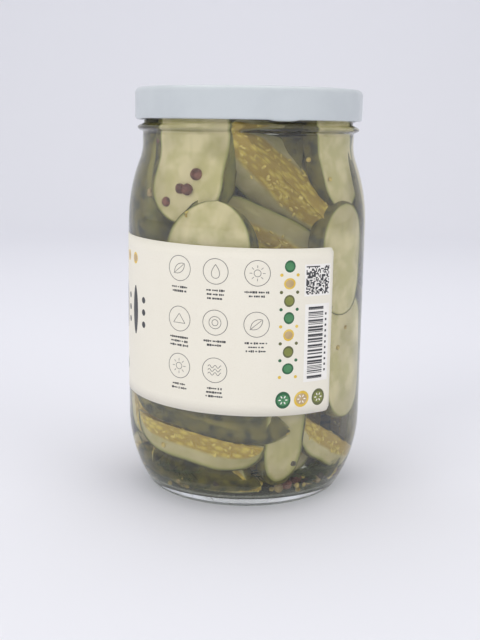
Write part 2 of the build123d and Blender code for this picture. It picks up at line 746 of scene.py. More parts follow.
@dataclass
class JarShape:
    """The glass's outline inside and out, in millimetres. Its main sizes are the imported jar's."""

    foot_radius: float = 36.0
    foot_width: float = 2.2
    heel_radius: float = 5.0
    base_curve_height: float = 30.0
    push_up: float = 1.6
    floor_dome: float = 0.7
    inner_heel_radius: float = 7.0
    shoulder_drop: float = 52.0
    shoulder_height: float = 31.0
    concave_share: float = 0.22
    neck_radius: float = 42.0
    bead_drop: float = 15.2
    bead_height: float = 3.2
    bead_radius: float = 44.3
    finish_radius: float = 41.6
    mouth_radius: float = 39.2
    rim_round: float = 0.8
    body_radius: float = field(init=False)
    inner_radius: float = field(init=False)
    floor: float = field(init=False)
    fill: float = field(init=False)
    rim: float = field(init=False)
    top: float = field(init=False)

    def __post_init__(self) -> None:
        """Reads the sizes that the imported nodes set."""
        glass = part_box("glass_jar")
        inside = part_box("contents")
        self.body_radius = glass[1].x / MM
        self.rim = glass[1].z / MM
        self.inner_radius = inside[1].x / MM
        self.floor = inside[0].z / MM
        self.fill = inside[1].z / MM
        self.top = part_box("metal_lid")[1].z / MM

    def _base(self, side: float, foot: float, heel: float, ground: float) -> list[Point]:
        """The heel and the large arc from the foot up to the straight side.

        Args:
            side: The straight side's radius.
            foot: The radius where the heel starts.
            heel: The heel's own radius.
            ground: The height where the heel starts.

        Returns:
            The points, going up.
        """
        across = side - foot
        up = self.base_curve_height - ground - heel
        large = (across**2 + up**2 - heel**2) / (2 * (across - heel))
        meet = -math.degrees(math.asin(up / (large - heel)))
        return joined(
            arc((foot, ground + heel), heel, -90, meet, 14),
            arc((side - large, self.base_curve_height), large, meet, 0, 22),
        )

    def _shoulder(self, side: float, throat: float) -> list[Point]:
        """The convex and the concave arc from the straight side in to the throat.

        Args:
            side: The straight side's radius.
            throat: The throat's radius.

        Returns:
            The points, going up.
        """
        low = self.top - self.shoulder_drop
        step = side - throat
        rise = self.shoulder_height
        both = (step**2 + rise**2) / (2 * step)
        concave = self.concave_share * both
        convex = both - concave
        turn = math.degrees(math.asin(rise / both))
        return joined(
            arc((side - convex, low), convex, 0, turn, 20),
            arc((throat + concave, low + rise), concave, 180 + turn, 180, 10),
        )

    def _dome(self, radius: float, height: float, rise: float) -> list[Point]:
        """A shallow arc from the axis outwards.

        Args:
            radius: Where it ends.
            height: Its height there.
            rise: How much higher it is on the axis.

        Returns:
            The points, going outwards.
        """
        sphere = (radius**2 + rise**2) / (2 * rise)
        half = math.degrees(math.asin(radius / sphere))
        return arc((0, height + rise - sphere), sphere, 90, 90 - half, 12)

    def outside(self) -> list[Point]:
        """The outline from the axis under the base up to the outer edge of the rim."""
        bead = self.top - self.bead_drop
        low = (self.neck_radius, bead - self.bead_height / 2)
        high = (self.finish_radius, bead + self.bead_height / 2)
        reach = self.bead_radius - self.neck_radius
        swell = []
        for t in (i / 12 for i in range(13)):
            out = reach * math.sin(math.pi * t) ** 0.8
            swell.append((low[0] + (high[0] - low[0]) * t + out, low[1] + (high[1] - low[1]) * t))
        corner = (self.finish_radius - self.rim_round, self.rim - self.rim_round)
        edge = arc(corner, self.rim_round, 0, 90, 6)
        return joined(
            self._dome(self.foot_radius - self.foot_width, 0.0, self.push_up),
            self._base(self.body_radius, self.foot_radius, self.heel_radius, 0.0),
            self._shoulder(self.body_radius, self.neck_radius),
            swell,
            edge,
        )

    def inside(self) -> list[Point]:
        """The outline from the axis on the glass floor up to the top of the throat."""
        foot = self.inner_radius - (self.body_radius - self.foot_radius) - self.inner_heel_radius / 2
        return joined(
            self._dome(foot, self.floor, self.floor_dome),
            self._base(self.inner_radius, foot, self.inner_heel_radius, self.floor),
            self._shoulder(self.inner_radius, self.mouth_radius),
        )

    def bore(self, height: float | np.ndarray) -> float | np.ndarray:
        """The inner radius of the glass.

        Args:
            height: One height or many.

        Returns:
            The radius at each.
        """
        wall = [point for point in self.inside() if point[0] > 20]
        radii = [point[0] for point in wall]
        heights = [point[1] + 1e-6 * i for i, point in enumerate(wall)]
        return np.interp(height, heights, radii)


@dataclass
class Glass:
    """The jar itself: one closed skin, with its thread runs and a slightly wavy inside."""

    shape: JarShape
    finish: Clear
    segments: int = 176
    threads: int = 4
    thread_angle: float = 17.0
    thread_arc: float = 46.0
    thread_low: float = 150.2
    thread_height: float = 1.9
    thread_reach: float = 1.3
    waviness: float = 0.16

    def build(self) -> bpy.types.Object:
        """Turns the outline and returns the piece."""
        shape = self.shape
        outer = filled(shape.outside(), 1.6)
        lip = arc(
            (shape.mouth_radius + shape.rim_round, shape.rim - shape.rim_round),
            shape.rim_round, 90, 180, 6,
        )
        inner = filled(joined(lip, list(reversed(shape.inside()))), 1.8)
        profile = joined(outer, inner)
        middle = len(outer)

        def shift(number: int, degrees: float) -> Point:
            """Threads on the finish outside, soft waves on the wall inside."""
            radius, height = profile[number]
            if number < middle:
                return (self._thread(height, degrees) if radius > shape.finish_radius - 0.1 else 0.0, 0.0)
            turn = math.radians(degrees)
            spot = Vector((math.cos(turn) * 2.2, math.sin(turn) * 2.2, height / 26))
            calm = min(1.0, max(0.0, (radius - 25) / 12))
            return (self.waviness * noise.noise(spot) * calm, 0.0)

        return lathe("jar_glass", profile, self.segments, self.finish.make(), shift)

    def _thread(self, height: float, degrees: float) -> float:
        """How far the thread runs stand out.

        Args:
            height: The height on the finish.
            degrees: The angle from the front.

        Returns:
            The distance out from the finish.
        """
        spacing = 360 / self.threads
        along = around((degrees - self.thread_angle) % spacing * self.threads) / self.threads
        if abs(along) > self.thread_arc / 2:
            return 0.0
        slope = 0.8 * along / self.thread_arc
        level = (height - self.thread_low - self.thread_height / 2 - slope) / (self.thread_height / 2)
        fade = min(1.0, (self.thread_arc / 2 - abs(along)) / 4)
        return self.thread_reach * fade * max(0.0, 1 - level**2)


@dataclass
class Brine:
    """The liquid up to the fill level. It reaches just into the glass, so no air shows."""

    shape: JarShape
    finish: Clear
    overlap: float = 0.3
    segments: int = 144

    def build(self) -> bpy.types.Object:
        """Turns the outline and returns the piece."""
        wall = filled(self.shape.inside(), 2.5)
        grown: list[Point] = [(0.0, wall[0][1] - self.overlap)]
        for before, here, after in zip(wall, wall[1:], wall[2:]):
            run = Vector((after[0] - before[0], after[1] - before[1])).normalized()
            grown.append((here[0] + run.y * self.overlap, here[1] - run.x * self.overlap))
        edge = self.shape.mouth_radius + self.overlap
        top = self.shape.fill
        surface = [(edge, wall[-1][1]), (edge, top - 0.4), (edge - 1.2, top - 0.9), (edge - 3, top - 1.1)]
        profile = joined(grown, filled([*surface, (0.0, top - 1.1)], 4.0))
        return lathe("brine", profile, self.segments, self.finish.make())


@dataclass
class Lid:
    """The drawn metal cap: stepped panel with a button, round shoulder, skirt, curl and lugs."""

    shape: JarShape
    finish: Enamel
    height: float = 12.0
    radius: float = 45.0
    metal: float = 0.5
    shoulder: float = 2.2
    step: float = 1.1
    step_run: float = 0.9
    seal_ring: float = 1.6
    button_radius: float = 14.0
    button_rise: float = 0.5
    curl: float = 0.9
    lugs: int = 4
    lug_angle: float = 17.0
    lug_arc: float = 15.0
    lug_reach: float = 0.9
    lug_sag: float = 0.5
    segments: int = 192

    def build(self) -> bpy.types.Object:
        """Turns the section and returns the piece."""
        top = self.shape.top
        under = top - self.metal
        outer = self.shape.mouth_radius - self.seal_ring
        inner = outer - self.step_run
        button = self.button_radius
        bottom = top - self.height
        middle = self.radius - self.curl
        reach = self.curl - self.metal
        start = 180 - math.degrees(math.acos(-reach / self.curl))
        crown = (self.radius - self.shoulder, top - self.shoulder)

        def panel(level: float, back: bool) -> list[Point]:
            """The panel's top or under face, from the axis out to the crown."""
            run = [
                (0.0, level - self.step + self.button_rise),
                (button - 0.6, level - self.step + self.button_rise),
                (button + 0.1, level - self.step + self.button_rise * 0.8),
                (button + 0.8, level - self.step + self.button_rise * 0.2),
                (button + 1.5, level - self.step),
                (inner - 0.4, level - self.step),
                (inner, level - self.step * 0.86),
                (outer, level - self.step * 0.14),
                (outer + 0.4, level),
            ]
            return list(reversed(run)) if back else run

        curl = arc((middle, bottom + self.curl), self.curl, start, 360, 18)
        under_side = joined(panel(under, False), arc(crown, self.shoulder - self.metal, 90, 0, 8), curl)
        over_side = joined(arc(crown, self.shoulder, 0, 90, 10), panel(top, True))
        profile = filled(joined(under_side, over_side), 2.0)

        def shift(number: int, degrees: float) -> Point:
            """The lugs, pressed in and down from the curl."""
            radius, height = profile[number]
            spacing = 360 / self.lugs
            along = around((degrees - self.lug_angle) % spacing * self.lugs) / self.lugs
            half = self.lug_arc / 2
            near = max(0.0, 1 - (abs(along) / half) ** 4) if abs(along) < half else 0.0
            low = min(1.0, max(0.0, (bottom + 2.2 * self.curl - height) / (1.4 * self.curl)))
            inward = min(1.0, max(0.0, (self.radius - 0.1 - radius) / (1.2 * self.curl)))
            return (-self.lug_reach * near * low * inward, -self.lug_sag * near * low)

        return lathe("metal_cap", profile, self.segments, self.finish.make(), shift)


# ---- label and print


class InkName(Enum):
    """The inks that the label is printed in."""

    CHARCOAL = "charcoal"
    LEAF = "leaf_green"
    DEEP = "deep_green"
    OLIVE = "olive"
    MOSS = "moss"
    YELLOW = "yellow"
    SAND = "sand"
    WHITE = "white"
    GREY = "grey"


INKS: dict[InkName, Ink] = {
    InkName.CHARCOAL: Ink("charcoal", shade(52, 53, 56), shade(78, 78, 80)),
    InkName.GREY: Ink("grey", shade(104, 102, 100), shade(132, 129, 125)),
    InkName.LEAF: Ink("leaf_green", shade(66, 128, 84), shade(92, 150, 100)),
    InkName.DEEP: Ink("deep_green", shade(38, 92, 60), shade(58, 112, 72)),
    InkName.OLIVE: Ink("olive", shade(128, 134, 66), shade(160, 160, 92)),
    InkName.MOSS: Ink("moss", shade(92, 96, 58), shade(122, 122, 76)),
    InkName.YELLOW: Ink("yellow", shade(222, 186, 66), shade(236, 208, 110)),
    InkName.SAND: Ink("sand", shade(188, 160, 116), shade(206, 182, 142)),
    InkName.WHITE: Ink("white", shade(246, 243, 238), shade(240, 236, 230)),
}


@dataclass
class Label:
    """The paper label, wrapped a little askew round the straight side."""

    shape: JarShape
    finish: Paper
    length: float = 250.0
    height: float = 63.0
    middle: float = 71.0
    tilt: float = 1.1
    end_angle: float = 43.0
    corner: float = 2.0
    gap: float = 0.01
    thickness: float = 0.08
    wave: float = 0.012
    column: float = 1.2
    rows: int = 14

    @property
    def right(self) -> float:
        """The label's right end, in millimetres round from the front."""
        return math.radians(self.end_angle) * self.shape.body_radius

    def place(self, along: float, up: float, lift: float) -> Spot:
        """A point on the wrapped label.

        Args:
            along: Millimetres round the jar from the front, towards +X.
            up: Millimetres above the label's middle line.
            lift: Millimetres out from the glass.

        Returns:
            The point in metres.
        """
        turn = along / self.shape.body_radius
        ripple = self.wave * noise.noise(Vector((along / 9, up / 14, 3.0)))
        radius = self.shape.body_radius + self.gap + self.wave + lift + ripple
        sink = math.tan(math.radians(self.tilt)) * self.shape.body_radius * math.sin(turn)
        height = self.middle + up - sink
        return (radius * MM * math.sin(turn), -radius * MM * math.cos(turn), height * MM)

    def build(self) -> bpy.types.Object:
        """Wraps the paper, as a closed thin shell with round corners."""
        count = round(self.length / self.column)
        columns = []
        for step in range(count + 1):
            from_left = self.length * step / count
            near = min(from_left, self.length - from_left)
            near = max(near, 0.02)
            cut = self.corner - near
            drop = self.corner - math.sqrt(self.corner**2 - cut**2) if cut > 0 else 0.0
            half = self.height / 2 - drop
            columns.append((self.right - self.length + from_left, -half, half))
        points, faces = [], []
        across = self.rows + 1
        layer = len(columns) * across
        for lift in (0.0, self.thickness):
            for along, low, high in columns:
                for row in range(across):
                    points.append(self.place(along, low + (high - low) * row / self.rows, lift))
        for column in range(count):
            for row in range(self.rows):
                a = column * across + row
                b = a + across
                faces.append((a, a + 1, b + 1, b))
                faces.append((layer + a, layer + b, layer + b + 1, layer + a + 1))
        for row in range(self.rows):
            faces.append((row, layer + row, layer + row + 1, row + 1))
            a = count * across + row
            faces.append((a, a + 1, layer + a + 1, layer + a))
        for column in range(count):
            a = column * across
            b = a + across
            faces.append((a, b, layer + b, layer + a))
            a += self.rows
            b += self.rows
            faces.append((a, layer + a, layer + b, b))
        return new_piece("paper_label", points, faces, self.finish.make())


class Sign(Enum):
    """The plain signs that stand in the label's rings."""

    LEAF = 0
    DROP = 1
    SUN = 2
    WAVES = 3
    HILL = 4
    RINGS = 5


@dataclass
class Print:
    """A generic print for the label: rings with plain signs, rows of dashes, slices and dots.

    Places on the label are millimetres (along, up), as Label.place takes them.
    """

    label: Label
    seed: int = 7
    step: float = 1.1
    film: float = 0.012
    ring_size: float = 9.4
    ring_line: float = 0.24
    sign_line: float = 0.22
    thin_line: float = 0.2
    ring_columns: Spot = (-61.6, -47.0, -31.6)
    ring_rows: Spot = (22.4, 3.4, -14.6)
    strips: dict[InkName, list[tuple[list[Pair], int, bool]]] = field(default_factory=dict)
    rng: random.Random = field(init=False)

    def __post_init__(self) -> None:
        """Starts the random numbers."""
        self.rng = random.Random(self.seed)

    def strip(self, ink: InkName, pairs: list[Pair], level: int = 0, closed: bool = False) -> None:
        """Adds a strip of ink between pairs of points.

        Args:
            ink: The ink.
            pairs: Points on the strip's two sides.
            level: How many films of ink lie under it.
            closed: Whether the last pair joins the first.
        """
        self.strips.setdefault(ink, []).append((pairs, level, closed))

    def bar(
        self, ink: InkName, centre: Point, width: float, height: float, level: int = 0
    ) -> None:
        """A level rectangle of ink.

        Args:
            ink: The ink.
            centre: The rectangle's centre.
            width: Its size along the label.
            height: Its size up the label.
            level: How many films of ink lie under it.
        """
        count = max(1, math.ceil(width / self.step))
        left = centre[0] - width / 2
        low, high = centre[1] - height / 2, centre[1] + height / 2
        alongs = [left + width * i / count for i in range(count + 1)]
        self.strip(ink, [((u, low), (u, high)) for u in alongs], level)

    def patch(self, ink: InkName, outline: Sequence[Point], level: int = 0) -> None:
        """A filled convex outline.

        Args:
            ink: The ink.
            outline: The outline's points, in order.
            level: How many films of ink lie under it.
        """
        low = min(point[0] for point in outline) + 0.01
        high = max(point[0] for point in outline) - 0.01
        count = max(4, math.ceil((high - low) / (self.step * 0.5)))
        pairs = []
        for step in range(count + 1):
            u = low + (high - low) * (1 - math.cos(math.pi * step / count)) / 2
            hits = []
            for a, b in zip(outline, [*outline[1:], outline[0]]):
                if (a[0] - u) * (b[0] - u) <= 0 and a[0] != b[0]:
                    hits.append(a[1] + (b[1] - a[1]) * (u - a[0]) / (b[0] - a[0]))
            pairs.append(((u, min(hits)), (u, max(hits))))
        self.strip(ink, pairs, level)

    def line(
        self,
        ink: InkName,
        points: Sequence[Point],
        width: float,
        closed: bool = False,
        level: int = 1,
    ) -> None:
        """A line of ink through points.

        Args:
            ink: The ink.
            points: The points.
            width: The line's width.
            closed: Whether the last point joins the first.
            level: How many films of ink lie under it.
        """
        pairs = []
        count = len(points)
        for index, point in enumerate(points):
            before = points[index - 1] if closed or index > 0 else point
            after = points[(index + 1) % count] if closed or index < count - 1 else point
            run = Vector((after[0] - before[0], after[1] - before[1])).normalized() * width / 2
            right = (point[0] + run.y, point[1] - run.x)
            left = (point[0] - run.y, point[1] + run.x)
            pairs.append((right, left))
        self.strip(ink, pairs, level, closed)

    @staticmethod
    def oval(
        centre: Point, length: float, width: float, turn: float = 0.0, power: float = 1.0
    ) -> list[Point]:
        """An oval outline.

        Args:
            centre: Its centre.
            length: Its long size.
            width: Its short size.
            turn: How far its length turns from along the label, in degrees.
            power: Under 1 makes it fuller, over 1 pointed at its ends.

        Returns:
            The outline's points, anticlockwise.
        """
        lean = math.radians(turn)
        count = 36
        outline = []
        for step in range(count):
            angle = 2 * math.pi * step / count
            x = length / 2 * math.cos(angle)
            y = width / 2 * math.copysign(abs(math.sin(angle)) ** power, math.sin(angle))
            outline.append(
                (
                    centre[0] + x * math.cos(lean) - y * math.sin(lean),
                    centre[1] + x * math.sin(lean) + y * math.cos(lean),
                )
            )
        return outline

    def dashes(
        self, ink: InkName, centre: Point, widths: Sequence[float], height: float = 0.62
    ) -> None:
        """Centred rows of small dashes in place of small print.

        Args:
            ink: The ink.
            centre: The middle of the first row.
            widths: The width of each row.
            height: The dashes' usual height.
        """
        for row, width in enumerate(widths):
            left = centre[0] - width / 2
            right = centre[0] + width / 2
            up = centre[1] - row * height * 2.3
            while left < right - 0.4:
                dash = min(self.rng.uniform(0.45, 1.0), right - left)
                tall = height * self.rng.choice((0.75, 1.0, 1.25))
                self.bar(ink, (left + dash / 2, up), dash, tall)
                left += dash + self.rng.choice((0.14, 0.14, 0.14, 0.5))

    def sign(self, sign: Sign, centre: Point) -> None:
        """A ring with one plain sign in it.

        Args:
            sign: Which sign.
            centre: The ring's centre.
        """
        ink = InkName.GREY
        self.line(ink, self.oval(centre, self.ring_size, self.ring_size), self.ring_line, True)
        x, y = centre
        reach = self.ring_size * 0.27
        if sign is Sign.LEAF:
            blade = self.oval(centre, reach * 2.2, reach * 1.2, 40, 1.6)
            rib = [(x - reach, y - reach * 0.8), (x + reach * 0.7, y + reach * 0.6)]
            self.line(ink, blade, self.sign_line, True)
            self.line(ink, filled(rib, 0.6), self.thin_line)
        elif sign is Sign.DROP:
            drop = [
                (x + reach * 0.8 * math.sin(a) * math.sin(a / 2), y + reach * math.cos(a))
                for a in (2 * math.pi * i / 30 for i in range(30))
            ]
            self.line(ink, drop, self.sign_line, True)
        elif sign is Sign.SUN:
            self.line(ink, self.oval(centre, reach, reach), self.sign_line, True)
            for ray in range(8):
                a = math.pi * ray / 4
                ends = [
                    (x + k * reach * math.cos(a), y + k * reach * math.sin(a)) for k in (0.75, 1.15)
                ]
                self.line(ink, ends, self.thin_line)
        elif sign is Sign.WAVES:
            for row in (-0.55, 0.0, 0.55):
                wave = [
                    (x + reach * (i / 8 - 1), y + row * reach + 0.22 * reach * math.sin(i * 0.9))
                    for i in range(17)
                ]
                self.line(ink, wave, self.sign_line)
        elif sign is Sign.HILL:
            left = (x - reach, y - reach * 0.6)
            right = (x + reach, y - reach * 0.6)
            self.line(ink, filled([left, (x, y + reach * 0.8), right], 0.6), self.sign_line)
            self.line(ink, filled([left, right], 0.6), self.thin_line)
        else:
            for size in (reach * 1.8, reach * 0.9):
                self.line(ink, self.oval(centre, size, size), self.sign_line, True)

    def code_block(self, centre: Point, size: float, cells: int = 23) -> None:
        """A square of random cells, which holds no message, on a white panel.

        Args:
            centre: The square's centre.
            size: Its side.
            cells: How many cells a side has.
        """
        self.bar(InkName.WHITE, centre, size * 1.12, size * 1.12, 0)
        cell = size / cells
        for row in range(cells):
            column = 0
            while column < cells:
                run = 0
                while column + run < cells and self.rng.random() < 0.52:
                    run += 1
                if run:
                    left = centre[0] - size / 2 + column * cell
                    up = centre[1] + size / 2 - (row + 0.5) * cell
                    middle = left + run * cell / 2
                    self.bar(InkName.CHARCOAL, (middle, up), run * cell, cell * 0.98, 1)
                column += run + 1

    def bar_code(self, centre: Point, width: float, height: float) -> None:
        """A white panel with level bars of random thickness and a column of ticks.

        Args:
            centre: The panel's centre.
            width: The bars' width, with the ticks.
            height: The height that the bars fill.
        """
        self.bar(InkName.WHITE, centre, width * 1.3, height * 1.1, 0)
        up = centre[1] - height / 2
        while up < centre[1] + height / 2:
            thick = self.rng.choice((0.28, 0.28, 0.5, 0.75))
            self.bar(InkName.CHARCOAL, (centre[0] - width * 0.08, up), width * 0.8, thick, 1)
            up += thick + self.rng.choice((0.3, 0.45, 0.7))
        for tick in range(11):
            spot = centre[1] - height * 0.4 + tick * height * 0.08
            self.bar(InkName.CHARCOAL, (centre[0] + width * 0.47, spot), 0.8, 0.85, 1)

    def chip(self, centre: Point, size: float, ink: InkName, inner: InkName) -> None:
        """A round slice: a disc with another colour in its middle.

        Args:
            centre: The slice's centre.
            size: Its size.
            ink: The ink of its rim.
            inner: The ink of its middle.
        """
        self.patch(ink, self.oval(centre, size, size * 0.92, self.rng.uniform(0, 90)))
        self.patch(inner, self.oval(centre, size * 0.72, size * 0.66), 1)

    def draw(self) -> None:
        """Lays the whole print out over the label."""
        right = self.label.right
        last = (len(self.ring_rows) - 1, len(self.ring_columns) - 1)
        for row, up in enumerate(self.ring_rows):
            for column, back in enumerate(self.ring_columns):
                if (row, column) == last:
                    continue
                along = right + back
                self.sign(Sign((row * 4 + column) % len(Sign)), (along, up))
                widths = [self.rng.uniform(5.5, 9.5) for _ in range(2 + (column + row) % 2)]
                self.dashes(InkName.CHARCOAL, (along, up - 7.0), widths, 0.66)
        self._slice_border(right)
        self._title_panel(right - self.label.length * 0.5)
        self._facts_panel(right - self.label.length * 0.84)

    def _slice_border(self, right: float) -> None:
        """Code block, bar code, a column of slices with dots, and a row of large slices.

        Args:
            right: The label's right end.
        """
        self.code_block((right - 7.4, 19.6), 10.6)
        self.bar_code((right - 7.2, -4.2), 8.6, 27.0)
        rims = (InkName.DEEP, InkName.YELLOW, InkName.MOSS)
        middles = (InkName.LEAF, InkName.SAND, InkName.OLIVE)
        column, spacing = right - 19.4, 6.4
        for number in range(7):
            up = 25.0 - number * spacing
            self.chip((column, up), 4.6, rims[number % 3], middles[number % 3])
            for side in (-spacing / 2, spacing / 2):
                dot = self.oval((column + side, up - spacing / 2), 1.3, 1.3)
                self.patch(rims[(number + 1) % 3], dot)
        for number, (rim, middle) in enumerate(zip(rims, middles)):
            along, up = right - 21.0 + number * 7.6, -25.4
            self.chip((along, up), 6.6, rim, middle)
            for turn in range(0, 360, 60):
                way = math.radians(turn)
                spot = (along + 1.3 * math.cos(way), up + 1.3 * math.sin(way))
                self.patch(InkName.WHITE, self.oval(spot, 1.1, 0.5, turn), 2)

    def _title_panel(self, middle: float) -> None:
        """A bold row of lozenges and dots between two rows of slices on the main face.

        Args:
            middle: The middle of the main face, along the label.
        """
        level = 2.6
        for number in range(-6, 7):
            along = middle + number * 7.2
            if number % 2:
                self.patch(InkName.CHARCOAL, self.oval((along, level), 20.0, 4.6, 90, 1.3))
            else:
                for up in (level - 4.8, level, level + 4.8):
                    self.patch(InkName.CHARCOAL, self.oval((along, up), 2.6, 2.6))
        for number, size in ((-2, 6.0), (-1, 7.5), (0, 9.0), (1, 7.5), (2, 6.0)):
            self.chip((middle + number * 10.0, -22.0), size, InkName.DEEP, InkName.LEAF)
        for number in range(-4, 5):
            self.chip((middle + number * 9.0, 23.0), 4.6, InkName.YELLOW, InkName.SAND)
        self.dashes(InkName.CHARCOAL, (middle, 17.2), [26.0], 0.9)

    def _facts_panel(self, middle: float) -> None:
        """A ruled table of dashes.

        Args:
            middle: The table's middle, along the label.
        """
        ink, rule = InkName.CHARCOAL, 0.28
        for row in range(7):
            up = 26.0 - row * 4.5
            self.bar(ink, (middle, up), 34.0, rule)
            self.dashes(ink, (middle - 7.0, up - 2.2), [16.0])
            self.dashes(ink, (middle + 13.0, up - 2.2), [5.0])
        for along in (-17.0, 7.5, 17.0):
            self.bar(ink, (middle + along, 10.2), rule, 31.6)
        self.dashes(ink, (middle, -11.0), [33, 34, 31, 33, 30, 32, 24], 0.6)

    def build(self) -> list[bpy.types.Object]:
        """Draws the print and wraps each ink as one piece of thin closed films."""
        self.draw()
        pieces = []
        for ink, strips in self.strips.items():
            points: list[Spot] = []
            faces: list[tuple[int, ...]] = []
            for pairs, level, closed in strips:
                self._wrap(points, faces, pairs, level, closed)
            piece = new_piece("print_" + ink.value, points, faces, INKS[ink].make())
            piece.data.shade_flat()
            outward(piece)
            pieces.append(piece)
        return pieces

    def _wrap(
        self,
        points: list[Spot],
        faces: list[tuple[int, ...]],
        pairs: list[Pair],
        level: int,
        closed: bool,
    ) -> None:
        """Adds one strip to a mesh as a closed film.

        Args:
            points: The mesh's vertices, which grow.
            faces: The mesh's faces, which grow.
            pairs: Points on the strip's two sides.
            level: How many films of ink lie under it.
            closed: Whether the last pair joins the first.
        """
        start = len(points)
        low = self.label.thickness - self.film * 0.5 + level * self.film
        high = low + self.film * 1.4
        for first, second in pairs:
            for spot, lift in ((first, low), (second, low), (second, high), (first, high)):
                points.append(self.label.place(*spot, lift))
        count = len(pairs)
        for index in range(count if closed else count - 1):
            here = start + index * 4
            there = start + (index + 1) % count * 4
            for side in range(4):
                after = (side + 1) % 4
                faces.append((here + side, here + after, there + after, there + side))
        if not closed:
            faces.append(tuple(start + side for side in range(4)))
            faces.append(tuple(start + (count - 1) * 4 + side for side in reversed(range(4))))


def outward(piece: bpy.types.Object) -> None:
    """Turns the faces of each closed part of a mesh outwards.

    Args:
        piece: The object whose mesh is mended in place.
    """
    work = bmesh.new()
    work.from_mesh(piece.data)
    bmesh.ops.recalc_face_normals(work, faces=work.faces)
    work.to_mesh(piece.data)
    work.free()


# ---- pickles


class Cut(Enum):
    """How a gherkin was cut."""

    QUARTER = "quarters"
    HALF = "halves"
    SLAB = "slabs"


@dataclass(frozen=True)
class Pickle:
    """One cut gherkin and where it lies.

    angle and height place its middle on the wall, inset takes it inwards from there. lean tips
    its top to the right seen from outside, tip tips its top inwards, and turn rolls it about
    its own length; at a turn of 0 the ridge or the cut face looks outwards. A plain one is cut
    clear of the seedy core.
    """

    cut: Cut
    angle: float
    height: float
    inset: float
    lean: float = 0.0
    turn: float = 0.0
    tip: float = 0.0
    length: float = 75.0
    radius: float = 16.0
    bend: float = 0.0
    dark: float = 0.3
    thick: float = 4.0
    plain: bool = False
    low_end: float = -1.0
    high_end: float = 1.0


@dataclass
class PickleMesh:
    """The mesh of one pickle, with what its material and its seeds read."""

    points: np.ndarray
    faces: list[tuple[int, ...]]
    own: np.ndarray
    flesh: np.ndarray
    seedy: np.ndarray


